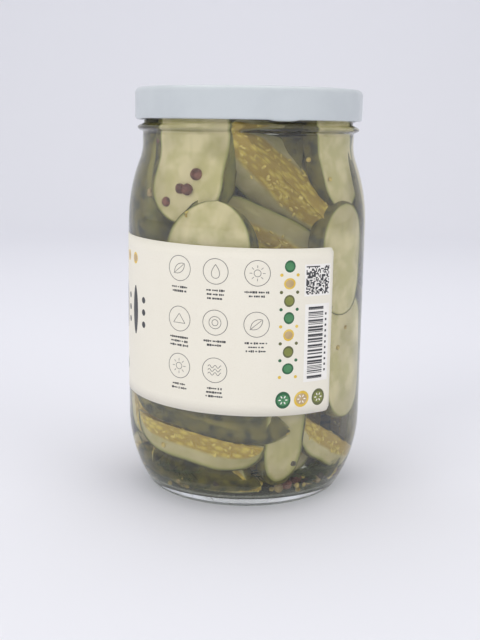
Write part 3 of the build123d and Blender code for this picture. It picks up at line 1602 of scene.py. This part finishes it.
@dataclass
class PickleMaker:
    """Makes the meshes of cut gherkins and presses them against the glass."""

    shape: JarShape
    stations: int = 46
    face_points: int = 13
    arc_points: int = 16
    tip_power: float = 3.4
    tip_round: float = 0.56
    deepest: float = 9.0
    highest_stand: float = 138.0

    def girth(self, pickle: Pickle, t: float) -> float:
        """A gherkin's radius at a share of its half length, from -1 to 1."""
        return pickle.radius * (1 - abs(t) ** self.tip_power) ** self.tip_round

    def section(self, pickle: Pickle, radius: float) -> tuple[np.ndarray, np.ndarray]:
        """A closed cross-section, going anticlockwise, with x outwards.

        Args:
            pickle: The pickle.
            radius: The gherkin's radius there.

        Returns:
            The points, and for each the way its cut face looks (0, 0 on the skin).
        """
        parts: list[tuple[np.ndarray, tuple[float, float]]] = []
        share = np.linspace(0, 1, self.face_points)[:, None]

        def face(start: Point, end: Point, look: float) -> None:
            """Adds a straight cut."""
            run = np.array(start) * (1 - share) + np.array(end) * share
            way = (math.cos(math.radians(look)), math.sin(math.radians(look)))
            parts.append((run, way))

        def skin(start: float, end: float) -> None:
            """Adds an arc of skin, without its end points."""
            angles = np.radians(np.linspace(start, end, self.arc_points + 2))[1:-1]
            swell = radius * (1 + 0.03 * np.cos(3 * angles + pickle.angle))
            run = np.stack([np.cos(angles) * swell, np.sin(angles) * swell], 1)
            parts.append((run, (0.0, 0.0)))

        def rim(angle: float) -> Point:
            """A point on the skin."""
            turn = math.radians(angle)
            return (radius * math.cos(turn), radius * math.sin(turn))

        if pickle.cut is Cut.QUARTER:
            face((0.0, 0.0), rim(135), 45)
            skin(135, 225)
            face(rim(225), (0.0, 0.0), -45)
            parts[-1] = (parts[-1][0][:-1], parts[-1][1])
        elif pickle.cut is Cut.HALF:
            face(rim(-90), rim(90), 0)
            skin(90, 270)
        else:
            half = min(pickle.thick, radius * 0.97)
            turn = math.degrees(math.acos(half / radius))
            face(rim(-turn), rim(turn), 0)
            skin(turn, 180 - turn)
            face(rim(180 - turn), rim(180 + turn), 180)
            skin(180 + turn, 360 - turn)
        points = np.concatenate([part for part, _ in parts])
        ways = np.concatenate([np.tile(way, (len(part), 1)) for part, way in parts])
        return points, ways

    @staticmethod
    def _unevenness(
        points: np.ndarray, share: np.ndarray, level: float, phase: float
    ) -> tuple[np.ndarray, np.ndarray]:
        """How far the cut faces sink in and the skin's warts stand out.

        Args:
            points: A cross-section's points.
            share: Their distances from the axis, as shares of the radius.
            level: The section's place along the gherkin.
            phase: Sets one gherkin's noise apart from another's.

        Returns:
            The dip and the wart height at each point.
        """

        def rough(x: float, y: float, across: float, along: float) -> float:
            """Noise of a size across and along the gherkin."""
            return noise.noise(Vector((x / across, y / across, level / along + phase)))

        dips, warts = [], []
        for s, (x, y) in zip(share, points):
            core = 0.55 * max(0.0, 1 - (s / 0.55) ** 2)
            dips.append(core * (1 + rough(x, y, 2, 3)) + 0.22 * rough(x, y, 5, 7))
            warts.append(0.35 * max(0.0, rough(x, y, 3.2, 3.6) - 0.1))
        return np.array(dips), np.array(warts)

    def body(self, pickle: Pickle, number: int) -> PickleMesh:
        """The mesh of one pickle in place.

        Args:
            pickle: The pickle.
            number: Its number, which seeds its unevenness.

        Returns:
            The mesh, its points in millimetres.
        """
        half = pickle.length / 2
        spread = np.linspace(-1, 1, self.stations)
        spread = np.sin(np.pi / 2 * spread) * 0.5 + spread * 0.5
        low, high = pickle.low_end, pickle.high_end
        stops = low + (high - low) * (spread + 1) / 2
        rings, own, flesh, seedy = [], [], [], []
        phase = random.Random(number * 17 + 3).uniform(0, 50)
        tips = (low <= -0.999, high >= 0.999)
        first = 1 if tips[0] else 0
        last = len(stops) - 1 if tips[1] else len(stops)
        for t in stops[first:last]:
            radius = self.girth(pickle, t)
            radius *= 1 + 0.05 * noise.noise(Vector((t * 2.2, phase, 0)))
            radius = max(radius, 0.4)
            points, ways = self.section(pickle, radius)
            reach = np.hypot(points[:, 0], points[:, 1])
            share = np.clip(reach / radius, 0, 1)
            level = np.full(len(points), t * half)
            is_cut = np.abs(ways).sum(1) > 0
            if pickle.plain:
                share = np.maximum(share, 0.75)
            dip, wart = self._unevenness(points, share, t * half, phase)
            bumps = points / np.maximum(reach, 0.1)[:, None] * wart[:, None]
            moved = points - ways * dip[:, None]
            moved += np.where(is_cut[:, None], 0, bumps)
            depth = np.minimum(radius - reach, self.deepest) / 10
            rings.append(np.column_stack([moved, level]))
            own.append(np.column_stack([points, level]))
            flesh.append(np.column_stack([share, depth, np.full(len(points), pickle.dark)]))
            seedy.append(np.where(is_cut & (share > 0.1) & (share < 0.52), 1.0, 0.0))
        for at_top, is_tip in enumerate(tips):
            ring = rings[-1] if at_top else rings[0]
            for inner, rows in self._end(pickle, ring, bool(at_top), is_tip):
                spot = len(rings) if at_top else 0
                rings.insert(spot, inner)
                own.insert(spot, inner)
                flesh.insert(spot, rows)
                seedy.insert(spot, np.zeros(len(inner)))
        return PickleMesh(
            points=self._placed(pickle, np.concatenate(rings)),
            faces=self._skin_faces(rings),
            own=np.concatenate(own) * MM + np.array([0, 0, phase * 0.01]),
            flesh=np.concatenate(flesh),
            seedy=np.concatenate(seedy),
        )

    def _end(
        self, pickle: Pickle, ring: np.ndarray, at_top: bool, is_tip: bool
    ) -> list[tuple[np.ndarray, np.ndarray]]:
        """The rings that close one end, from the last full ring inwards.

        Args:
            pickle: The pickle.
            ring: The last full ring.
            at_top: Whether it is the upper end.
            is_tip: Whether the gherkin's own tip is there, and not a cut across it.

        Returns:
            Each ring with its rows of the attribute flesh. The last is a single point.
        """
        place = ring.mean(0)
        if is_tip:
            level = pickle.length / 2 if at_top else -pickle.length / 2
            tip = np.array([[place[0] * 0.5, place[1] * 0.5, level]])
            return [(tip, np.array([[0.98, 0.0, pickle.dark]]))]
        edge = self.girth(pickle, 2 * ring[0, 2] / pickle.length)
        found = []
        for inner in [*(place + (ring - place) * k for k in (0.8, 0.6, 0.4, 0.2)), place[None, :]]:
            reach = np.hypot(inner[:, 0], inner[:, 1])
            share = np.clip(reach / edge, 0, 1)
            depth = np.clip(edge - reach, 0, self.deepest) / 10
            rows = np.column_stack([share, depth, np.full(len(inner), pickle.dark)])
            found.append((inner, rows))
        return found

    @staticmethod
    def _skin_faces(rings: list[np.ndarray]) -> list[tuple[int, ...]]:
        """The faces between rings, of which the first and the last are single points.

        Args:
            rings: The rings, from the lower end up.

        Returns:
            The faces, as vertex numbers.
        """
        size = max(len(ring) for ring in rings)
        starts = np.cumsum([0] + [len(ring) for ring in rings])
        faces: list[tuple[int, ...]] = []
        for index in range(len(rings) - 1):
            here, there = int(starts[index]), int(starts[index + 1])
            for k in range(size):
                after = (k + 1) % size
                if len(rings[index]) == 1:
                    faces.append((here, there + after, there + k))
                elif len(rings[index + 1]) == 1:
                    faces.append((here + k, here + after, there))
                else:
                    faces.append((here + k, here + after, there + after, there + k))
        return faces

    def _placed(self, pickle: Pickle, local: np.ndarray) -> np.ndarray:
        """Bends and places the points of a pickle, then presses them inside the glass.

        Args:
            pickle: The pickle.
            local: Its points, with its own axis upright.

        Returns:
            The points in the jar.
        """
        local = local.copy()
        shift = {Cut.QUARTER: 0.5, Cut.HALF: 0.4, Cut.SLAB: 0.0}[pickle.cut] * pickle.radius
        local[:, 0] += shift
        local[:, 1] += pickle.bend * (local[:, 2] / (pickle.length / 2)) ** 2
        spin = Matrix.Rotation(math.radians(pickle.turn), 3, "Z")
        lean = Matrix.Rotation(math.radians(-pickle.lean), 3, "X")
        tip = Matrix.Rotation(math.radians(-pickle.tip), 3, "Y")
        turned = local @ np.array(tip @ lean @ spin).T
        angle = math.radians(pickle.angle)
        out = np.array([math.sin(angle), -math.cos(angle), 0.0])
        side = np.array([math.cos(angle), math.sin(angle), 0.0])
        up = np.array([0.0, 0.0, 1.0])
        stand = float(self.shape.bore(min(pickle.height, self.highest_stand))) - pickle.inset
        points = (
            turned[:, 0:1] * out + turned[:, 1:2] * side + turned[:, 2:3] * up
            + stand * out + np.array([0.0, 0.0, pickle.height])
        )
        # A gap of its own keeps two pickles on the glass from sharing one surface.
        own_gap = hash((round(pickle.angle), round(pickle.height))) % 7
        gap = 0.35 + own_gap * 0.05
        points[:, 2] = np.clip(points[:, 2], self.shape.floor + 1.2, self.shape.fill - 1.8)
        limit = self.shape.bore(points[:, 2]) - gap
        reach = np.hypot(points[:, 0], points[:, 1])
        squeeze = np.minimum(1.0, limit / np.maximum(reach, 0.01))
        points[:, :2] *= squeeze[:, None]
        return points


@dataclass
class PackedPickles:
    """Every pickle in the jar, joined by cut, with seeds on the cut faces."""

    shape: JarShape
    finish: PickleFlesh
    seed_finish: Speckled
    seed: int = 11

    def front(self) -> list[Pickle]:
        """The pickles that show at the front, above and below the label."""
        return [
            Pickle(Cut.SLAB, -33, 135, 5.5, lean=1, turn=4,
                   tip=8, length=54, radius=16.5, dark=0.05, thick=4.5, high_end=0.8, plain=True),
            Pickle(Cut.HALF, -17, 82, 7.5, lean=4, turn=-14,
                   length=74, radius=19.5, dark=0.1, bend=1.5, plain=True),
            Pickle(Cut.QUARTER, 19, 127, 12.5, lean=-46,
                   tip=3, length=54, radius=18.0, dark=0.6),
            Pickle(Cut.SLAB, 57, 136, 5.0, lean=-2,
                   tip=8, length=46, radius=12.5, dark=0.1, thick=3.5, high_end=0.85, plain=True),
            Pickle(Cut.SLAB, 55, 96, 5.2, lean=3, turn=-6,
                   length=44, radius=13.5, dark=0.15, plain=True),
            Pickle(Cut.SLAB, 60, 58, 6.0, lean=-4, turn=-4,
                   length=52, radius=14.0, dark=0.1, plain=True),
            Pickle(Cut.QUARTER, 10, 104, 17.0, lean=-64, turn=-35,
                   length=60, radius=16.0, dark=0.9),
            Pickle(Cut.QUARTER, -27, 26, 8.5, lean=97, turn=-40,
                   length=60, radius=12.0, dark=0.6),
            Pickle(Cut.QUARTER, -34, 13, 9.0, lean=95, turn=150,
                   length=56, radius=10.0, dark=0.6),
            Pickle(Cut.QUARTER, -24, 38, 9.0, lean=99, turn=172,
                   length=68, radius=12.0, dark=0.8),
            Pickle(Cut.SLAB, 20, 32, 5.8, lean=4, turn=6,
                   tip=-4, length=44, radius=9.0, dark=0.5, plain=True),
            Pickle(Cut.QUARTER, 16, 18, 15.0, lean=80, turn=-50,
                   length=34, radius=12.0, dark=0.5),
            Pickle(Cut.QUARTER, 52, 24, 10.0, lean=-58, turn=40,
                   length=40, radius=12.0, dark=0.5),
            Pickle(Cut.HALF, -72, 119, 9.0, lean=-6, turn=172, length=60, radius=14.0, dark=0.4),
            Pickle(Cut.HALF, -62, 62, 9.0, lean=3, turn=20, length=76, radius=16.0),
            Pickle(Cut.QUARTER, 5, 66, 14.0, lean=5, turn=180, length=78, radius=16.0, dark=0.5),
            Pickle(Cut.QUARTER, 34, 64, 17.0, lean=-5, turn=30, length=58, radius=15.0, dark=0.5),
        ]

    def others(self) -> list[Pickle]:
        """The pickles round the sides, the back and the middle."""
        rng = random.Random(self.seed)
        found = []
        cuts = (Cut.QUARTER, Cut.SLAB, Cut.QUARTER, Cut.HALF)
        for level, (height, length) in enumerate(((46, 80), (119, 66))):
            for number, angle in enumerate(range(88 + level * 9, 268, 25)):
                cut = cuts[(number + level) % 4]
                turn = rng.choice((0, 40, -40, 180)) if cut is Cut.QUARTER else rng.uniform(-12, 12)
                found.append(
                    Pickle(
                        cut, angle + rng.uniform(-4, 4), height + rng.uniform(-4, 5),
                        6.0 if cut is Cut.SLAB else 11.0,
                        lean=rng.uniform(-9, 9), turn=turn, tip=2.0 + 3 * level,
                        length=length + rng.uniform(-8, 4), radius=rng.uniform(13, 16.5),
                        bend=rng.uniform(-2, 2), dark=rng.uniform(0.05, 0.8),
                        plain=cut is Cut.SLAB,
                    )
                )
        for angle in (105, 156, 205, 262, 318):
            found.append(
                Pickle(
                    Cut.QUARTER, angle, 17, 17.0,
                    lean=90 + rng.uniform(-8, 8), turn=rng.uniform(-60, 60),
                    length=58, radius=13.0, dark=rng.uniform(0.3, 0.8),
                )
            )
        for number in range(10):
            level = number % 2
            found.append(
                Pickle(
                    Cut.HALF if number % 3 else Cut.QUARTER,
                    number * 72 + 30, 50 + 68 * level, 29.0,
                    lean=rng.uniform(-8, 8), turn=rng.uniform(-180, 180), tip=0,
                    length=76 - 10 * level, radius=rng.uniform(13, 16), dark=rng.uniform(0.3, 0.9),
                )
            )
        return found

    def build(self) -> list[bpy.types.Object]:
        """Makes one piece of each cut, and one of the seeds of each cut that shows a core."""
        maker = PickleMaker(self.shape)
        material = self.finish.make()
        grouped: dict[Cut, list[PickleMesh]] = {}
        pickles = [*self.front(), *self.others()]
        for number, pickle in enumerate(pickles):
            grouped.setdefault(pickle.cut, []).append(maker.body(pickle, number))
        seeded = {pickle.cut for pickle in pickles if not pickle.plain}
        pieces = []
        seeds = SeedGrowth(self.seed_finish)
        for cut, bodies in grouped.items():
            piece = self._joined("pickle_" + cut.value, bodies, material)
            pieces.append(piece)
            if cut in seeded:
                pieces.append(seeds.build("seeds_" + cut.value, piece))
        return pieces

    @staticmethod
    def _joined(
        name: str, bodies: list[PickleMesh], material: bpy.types.Material
    ) -> bpy.types.Object:
        """Joins pickles into one piece and stores their attributes.

        Args:
            name: The piece's name.
            bodies: The pickles.
            material: Their material.

        Returns:
            The piece.
        """
        faces: list[tuple[int, ...]] = []
        start = 0
        for body in bodies:
            faces += [tuple(start + k for k in face) for face in body.faces]
            start += len(body.points)
        points = np.concatenate([body.points for body in bodies]) * MM
        mesh = bpy.data.meshes.new(name)
        mesh.from_pydata(points.tolist(), [], faces)
        mesh.shade_smooth()
        mesh.set_sharp_from_angle(angle=math.radians(48))
        stored = {
            "own": ("FLOAT_VECTOR", "vector", [body.own for body in bodies]),
            "flesh": ("FLOAT_VECTOR", "vector", [body.flesh for body in bodies]),
            "seedy": ("FLOAT", "value", [body.seedy for body in bodies]),
        }
        for key, (kind, slot, values) in stored.items():
            layer = mesh.attributes.new(key, kind, "POINT")
            layer.data.foreach_set(slot, np.concatenate(values).ravel())
        mesh.materials.append(material)
        piece = linked(name, mesh)
        return piece


@dataclass
class SeedGrowth:
    """Flat oval seeds half sunk in the cut faces of the pickles."""

    finish: Speckled
    density: float = 90000.0
    length: float = 2.3
    proportions: Spot = (1.0, 0.46, 0.3)
    seed: int = 5

    def build(self, name: str, pickles: bpy.types.Object) -> bpy.types.Object:
        """Grows seeds on a copy of some pickles.

        Args:
            name: The new piece's name.
            pickles: The pickles, whose attribute "seedy" is 1 where seeds show.

        Returns:
            The seeds as one piece.
        """
        growth = Growth("seed_growth")
        density = growth.input("Density")
        size = growth.input("Length")
        mask = growth.node("GeometryNodeInputNamedAttribute", None, {"Name": "seedy"})[0]
        strewn = growth.node(
            "GeometryNodeDistributePointsOnFaces", {"distribute_method": "RANDOM"},
            {"Mesh": growth.geometry(), "Density": density * mask, "Seed": self.seed},
        )
        ball = {"Segments": 8, "Rings": 5, "Radius": 0.5}
        oval = growth.node("GeometryNodeMeshUVSphere", None, ball)
        flat = {"Geometry": oval[0], "Scale": self.proportions}
        shaped = growth.node("GeometryNodeTransform", None, flat)[0]
        lying = growth.turned(
            strewn["Rotation"], growth.random_turn((0.35, 0.35, 3.14), self.seed + 1)
        )
        scale = growth.random_size(0.65, 1.15, self.seed + 2)
        placed = growth.instances(strewn["Points"], shaped, lying, scale * size)
        growth.close(placed, self.finish.make())
        base = linked(name + "_base", pickles.data.copy())
        return growth.grow(name, base, {"Density": self.density, "Length": self.length * MM})


# ---- spices


@dataclass
class Spice:
    """One kind of round spice: where its grains lie and how large and wrinkled they are."""

    name: str
    finish: Speckled
    spots: list[Spot]
    size: float
    flat: float = 0.9
    wrinkle: float = 0.06
    segments: int = 12
    seed: int = 3

    def build(self) -> bpy.types.Object:
        """Grows a grain on every spot and returns them as one piece."""
        growth = Growth(self.name + "_growth")
        size = growth.input("Size")
        wrinkle = growth.input("Wrinkle")
        ball = growth.node(
            "GeometryNodeMeshUVSphere", None,
            {"Segments": self.segments, "Rings": max(5, self.segments * 2 // 3), "Radius": 0.5},
        )[0]
        ball = growth.node(
            "GeometryNodeTransform", None, {"Geometry": ball, "Scale": (1.0, 0.96, self.flat)}
        )[0]
        points = growth.node("GeometryNodeMeshToPoints", None, {0: growth.geometry()})[0]
        spin = growth.random_turn((3.0, 3.0, 3.0), self.seed)
        scale = growth.random_size(0.84, 1.1, self.seed + 1)
        placed = growth.instances(points, ball, spin, scale * size)
        real = growth.node("GeometryNodeRealizeInstances", None, {0: placed})[0]
        lumps = growth.node(
            "ShaderNodeTexNoise", None, {"Scale": 1.4 / (self.size * MM), "Detail": 2.0}
        )[0]
        normal = growth.node("GeometryNodeInputNormal")[0]
        push = growth.node(
            "ShaderNodeVectorMath", {"operation": "SCALE"},
            {0: normal, "Scale": (lumps - 0.5) * wrinkle},
        )[0]
        rough = growth.node("GeometryNodeSetPosition", None, {"Geometry": real, "Offset": push})[0]
        growth.close(rough, self.finish.make())
        base = new_piece(self.name + "_base", [tuple(c * MM for c in spot) for spot in self.spots], [])
        sizes = {"Size": self.size * MM, "Wrinkle": self.wrinkle * self.size * MM * 4}
        return growth.grow(self.name, base, sizes)


@dataclass
class Dill:
    """Sprigs of dill: thin stems with needle leaves, round the foot and between the pickles."""

    shape: JarShape
    finish: Speckled
    sprigs: int = 64
    low_share: float = 0.75
    branches: int = 3
    steps: int = 9
    highest: float = 150.0
    stem_radius: float = 0.22
    needle_length: float = 4.2
    needle_spacing: float = 0.85
    seed: int = 21

    def stems(self) -> bpy.types.Object:
        """Lays the stems as runs of edges near the wall."""
        rng = random.Random(self.seed)
        points: list[Spot] = []
        edges: list[tuple[int, int]] = []
        for number in range(self.sprigs):
            low = number < self.sprigs * self.low_share
            angle = rng.uniform(0, 360) if low else rng.uniform(72, 285)
            height = rng.uniform(6.5, 14) if low else rng.uniform(20, 140)
            climb = rng.uniform(-0.12, 0.25) if low else rng.uniform(-1.2, 1.2)
            layer = (4.5 if low else 1.0) * (number % 3) * 0.5
            for branch in range(self.branches):
                way = rng.uniform(-0.5, 0.5)
                start = len(points)
                for step in range(self.steps):
                    along = step * (2.6 - branch * 0.6)
                    level = height + along * climb + way * along * 0.5 * (branch > 0)
                    level = min(self.highest, max(self.shape.floor + 1.5, level))
                    inset = 1.6 + 2.5 * rng.random() * 0.2 + branch * 0.7 + layer
                    reach = float(self.shape.bore(level)) - inset
                    points.append(around_axis(angle + along * 1.2, reach * MM, level * MM))
                    if step:
                        edges.append((start + step - 1, start + step))
        mesh = bpy.data.meshes.new("dill_stems")
        mesh.from_pydata(points, edges, [])
        base = linked("dill_stems", mesh)
        return base

    def build(self) -> bpy.types.Object:
        """Grows stems and needles and returns the piece."""
        growth = Growth("dill_growth")
        stem_size = growth.input("Stem radius")
        needle = growth.input("Needle length")
        curve = growth.node("GeometryNodeMeshToCurve", None, {0: growth.geometry()})[0]
        round_section = {"Resolution": 5, "Radius": stem_size}
        ring = growth.node("GeometryNodeCurvePrimitiveCircle", None, round_section)[0]
        sweep = {"Curve": curve, "Profile Curve": ring, "Fill Caps": True}
        stem = growth.node("GeometryNodeCurveToMesh", None, sweep)[0]
        spacing = {"Curve": curve, "Length": self.needle_spacing * MM}
        spots = growth.node("GeometryNodeCurveToPoints", {"mode": "LENGTH"}, spacing)
        cone = {"Vertices": 4, "Radius Top": 0.01, "Radius Bottom": 0.045, "Depth": 1.0}
        leaf = growth.node("GeometryNodeMeshCone", None, cone)[0]
        way = growth.turned(spots["Rotation"], growth.random_turn((1.0, 1.0, 3.1), self.seed))
        scale = growth.random_size(0.5, 1.2, self.seed + 1)
        needles = growth.instances(spots["Points"], leaf, way, scale * needle)
        growth.close(growth.join(stem, needles), self.finish.make())
        sizes = {"Stem radius": self.stem_radius * MM, "Needle length": self.needle_length * MM}
        return growth.grow("dill_sprigs", self.stems(), sizes)


@dataclass
class SpiceRack:
    """All spices in the brine."""

    shape: JarShape
    seed: int = 31

    def on_wall(self, angle: float, height: float, size: float, inset: float = 0.5) -> Spot:
        """A spot where a grain touches the wall from inside.

        Args:
            angle: Its angle, in degrees from the front.
            height: Its height.
            size: The grain's size.
            inset: How far it stays off the wall.

        Returns:
            The grain's middle, in millimetres.
        """
        reach = float(self.shape.bore(height)) - size / 2 - inset
        return around_axis(angle, reach, height)

    def strewn(
        self, count: int, heights: Point, size: float, depth: float, seed: int
    ) -> list[Spot]:
        """Spots strewn all round the jar.

        Args:
            count: How many.
            heights: The lowest and the highest.
            size: The grains' size.
            depth: How far inwards from the wall they may lie.
            seed: Added to the rack's own seed.

        Returns:
            The grains' middles, in millimetres.
        """
        rng = random.Random(self.seed + seed)
        return [
            self.on_wall(
                rng.uniform(0, 360), rng.uniform(*heights), size, 0.5 + depth * rng.random() ** 2
            )
            for _ in range(count)
        ]

    def build(self) -> list[bpy.types.Object]:
        """Makes each kind of spice as one piece."""
        low = self.shape.floor
        front = ((-57.5, 139.5), (-56.0, 135.4), (-27.0, 127.5))
        front += ((-35.5, 122.3), (-31.0, 122.0), (-43.0, 117.2))
        berries = [self.on_wall(angle, height, 4.3, 0.12) for angle, height in front]
        berries += self.strewn(9, (8, 13), 4.3, 6, 1)
        berries += [spot for spot in self.strewn(26, (20, 140), 4.3, 1, 2) if spot[1] > -8]
        grains = self.strewn(90, (low + 1.2, low + 7), 2.0, 9, 3)
        grains += self.strewn(46, (low + 6, 140), 2.0, 0.5, 4)
        tan = self.strewn(30, (low + 2, low + 9), 3.2, 8, 5)
        tan += self.strewn(10, (18, 140), 3.6, 1, 6)
        corns = self.strewn(20, (low + 2, low + 10), 3.8, 8, 7)
        corns += self.strewn(8, (18, 120), 3.8, 1, 8)
        allspice = Speckled("allspice", shade(134, 84, 72), shade(92, 54, 50), 420, 0.5, 0.3)
        mustard = Speckled("mustard", shade(214, 190, 112), shade(176, 146, 74), 600, 0.45, 0.1)
        coriander = Speckled("coriander", shade(182, 158, 112), shade(132, 106, 70), 380, 0.55, 0.3)
        pepper = Speckled("peppercorn", shade(58, 50, 44), shade(92, 78, 64), 520, 0.5, 0.4)
        dill = Speckled("dill", shade(58, 70, 34), shade(92, 98, 48), 300, 0.5, 0.05)
        return [
            Spice("spice_berries", allspice, berries, 4.3, 0.95, 0.05, 20, 3).build(),
            Spice("mustard_seeds", mustard, grains, 2.0, 0.92, 0.03, 10, 13).build(),
            Spice("coriander_seeds", coriander, tan, 3.6, 0.95, 0.05, 16, 23).build(),
            Spice("peppercorns", pepper, corns, 3.8, 0.97, 0.12, 16, 33).build(),
            Dill(self.shape, dill).build(),
        ]


# ---- studio


@dataclass(frozen=True)
class Softbox:
    """A square area lamp that looks at a height on the jar's axis, in metres and watts."""

    name: str
    place: Spot
    aim: float
    size: float
    power: float
    in_gloss: bool = False
    colour: Spot = (1.0, 0.985, 0.97)

    def build(self) -> None:
        """Adds the lamp. The glass never shows it, and gloss only where in_gloss is set."""
        light = bpy.data.lights.new(self.name, "AREA")
        light.size = self.size
        light.energy = self.power
        light.color = self.colour
        lamp = linked(self.name, light)
        lamp.location = self.place
        way = Vector((0, 0, self.aim)) - Vector(self.place)
        lamp.rotation_euler = way.to_track_quat("-Z", "Y").to_euler()
        lamp.visible_glossy = self.in_gloss
        lamp.visible_transmission = False


@dataclass
class Studio:
    """Pale floor and backdrop, soft lamps and the camera."""

    floor_colour: Colour = shade(236, 236, 242)
    sky: Colour = shade(221, 221, 229)
    floor_back: float = 900.0
    floor_bend: float = 500.0
    half_width: float = 2200.0
    wall_height: float = 2200.0
    ambient: float = 0.56
    distance: float = 408.5
    eye: float = 146.0
    aside: float = 0.0
    pitch: float = 10.98
    roll: float = 0.9
    yaw: float = 0.3
    lens: float = 56.5

    def build(self) -> None:
        """Sets up floor, backdrop, lamps, world and camera."""
        self._backdrop()
        Softbox("top_softbox", (0.0, 0.25, 1.25), 0.05, 1.3, 6.4, in_gloss=True).build()
        Softbox("front_left_softbox", (-0.95, -1.0, 0.75), 0.08, 0.9, 7.4).build()
        Softbox("front_right_softbox", (1.1, -0.75, 0.6), 0.08, 0.9, 4.3).build()
        self._world()
        self._camera()
        bpy.context.scene.view_settings.view_transform = "Standard"

    def _backdrop(self) -> None:
        """A sweep of floor that curves up into a wall behind."""
        bend = self.floor_bend
        profile = [(-1400.0, 0.0), (self.floor_back, 0.0)]
        for step in range(1, 16):
            turn = math.radians(6 * step)
            profile.append((self.floor_back + bend * math.sin(turn), bend - bend * math.cos(turn)))
        profile.append((self.floor_back + bend, self.wall_height))
        sides = (-self.half_width, self.half_width)
        points = [(side * MM, y * MM, z * MM) for y, z in profile for side in sides]
        faces = [(2 * i, 2 * i + 1, 2 * i + 3, 2 * i + 2) for i in range(len(profile) - 1)]
        paint = Paint("backdrop")
        clouds = paint.grain(paint.position(), 3.0)
        colour = paint.blend(clouds * 0.1, self.floor_colour, self.sky)
        surface = paint.surface({"Base Color": colour, "Roughness": 0.75, "Specular IOR Level": 0.2})
        sweep = new_piece("backdrop", points, faces, paint.finish(surface))

    def _world(self) -> None:
        """Soft light all round, and a pale sky for what looks or reflects past the sweep."""
        world = bpy.data.worlds.new("studio")
        world.use_nodes = True
        paint = Graph(world.node_tree)
        world.node_tree.nodes.clear()
        path = paint.node("ShaderNodeLightPath")
        seen = path["Is Camera Ray"].math("MAXIMUM", path["Is Glossy Ray"])
        seen = seen.math("MAXIMUM", path["Is Transmission Ray"])
        light = {"Color": (0.95, 0.97, 1.0, 1), "Strength": self.ambient}
        soft = paint.node("ShaderNodeBackground", None, light)[0]
        pale = paint.node("ShaderNodeBackground", None, {"Color": self.sky, "Strength": 1.0})[0]
        both = paint.node("ShaderNodeMixShader", None, {0: seen, 1: soft, 2: pale})[0]
        paint.node("ShaderNodeOutputWorld", None, {"Surface": both})
        bpy.context.scene.world = world

    def _camera(self) -> None:
        """The camera at the front, looking slightly down."""
        data = bpy.data.cameras.new("camera")
        data.lens = self.lens
        data.sensor_width = 36.0
        data.sensor_fit = "AUTO"
        camera = linked("camera", data)
        camera.location = (self.aside * MM, -self.distance * MM, self.eye * MM)
        turn = (
            Matrix.Rotation(math.radians(self.yaw), 3, "Z")
            @ Matrix.Rotation(math.radians(90 - self.pitch), 3, "X")
            @ Matrix.Rotation(math.radians(self.roll), 3, "Z")
        )
        camera.rotation_euler = turn.to_euler()
        bpy.context.scene.camera = camera


# ---- assembly


def keep(piece: bpy.types.Object, replaced: str | None = None) -> None:
    """Puts a finished piece on the jar's body.

    Args:
        piece: The piece.
        replaced: The CAD node that it stands for, if any.
    """
    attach(piece, BODY)
    if replaced is not None:
        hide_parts(replaced)
    LOG.info("%s: %d faces", piece.name, len(piece.data.polygons))


def main() -> None:
    """Builds every piece in order, then the studio."""
    logging.basicConfig(level=logging.INFO, format="%(name)s %(message)s")
    shape = JarShape()
    glass = Clear("clear_glass", 1.5, shade(250, 253, 251), (0.95, 0.965, 0.955, 1.0), frost_height=2.6)
    brine = Clear("brine", 1.335, shade(253, 251, 240), (0.97, 0.965, 0.93, 1.0), shade(232, 226, 204), 8.0)
    enamel = Enamel(shade(200, 206, 209), shade(191, 197, 201))
    paper = Paper(shade(241, 236, 222), shade(229, 222, 205))
    keep(Glass(shape, glass).build(), "glass_jar")
    keep(Lid(shape, enamel).build(), "metal_lid")
    label = Label(shape, paper)
    keep(label.build(), "wrap_label")
    for piece in Print(label).build():
        keep(piece)
    keep(Brine(shape, brine).build(), "contents")
    seeds = Speckled("pickle_seeds", shade(220, 198, 112), shade(192, 166, 78), 420, 0.4, 0.08)
    for piece in PackedPickles(shape, PickleFlesh("pickle_flesh"), seeds).build():
        keep(piece)
    for piece in SpiceRack(shape).build():
        keep(piece)
    Studio().build()
    bpy.context.view_layer.update()


if __name__ == "__main__":
    main()
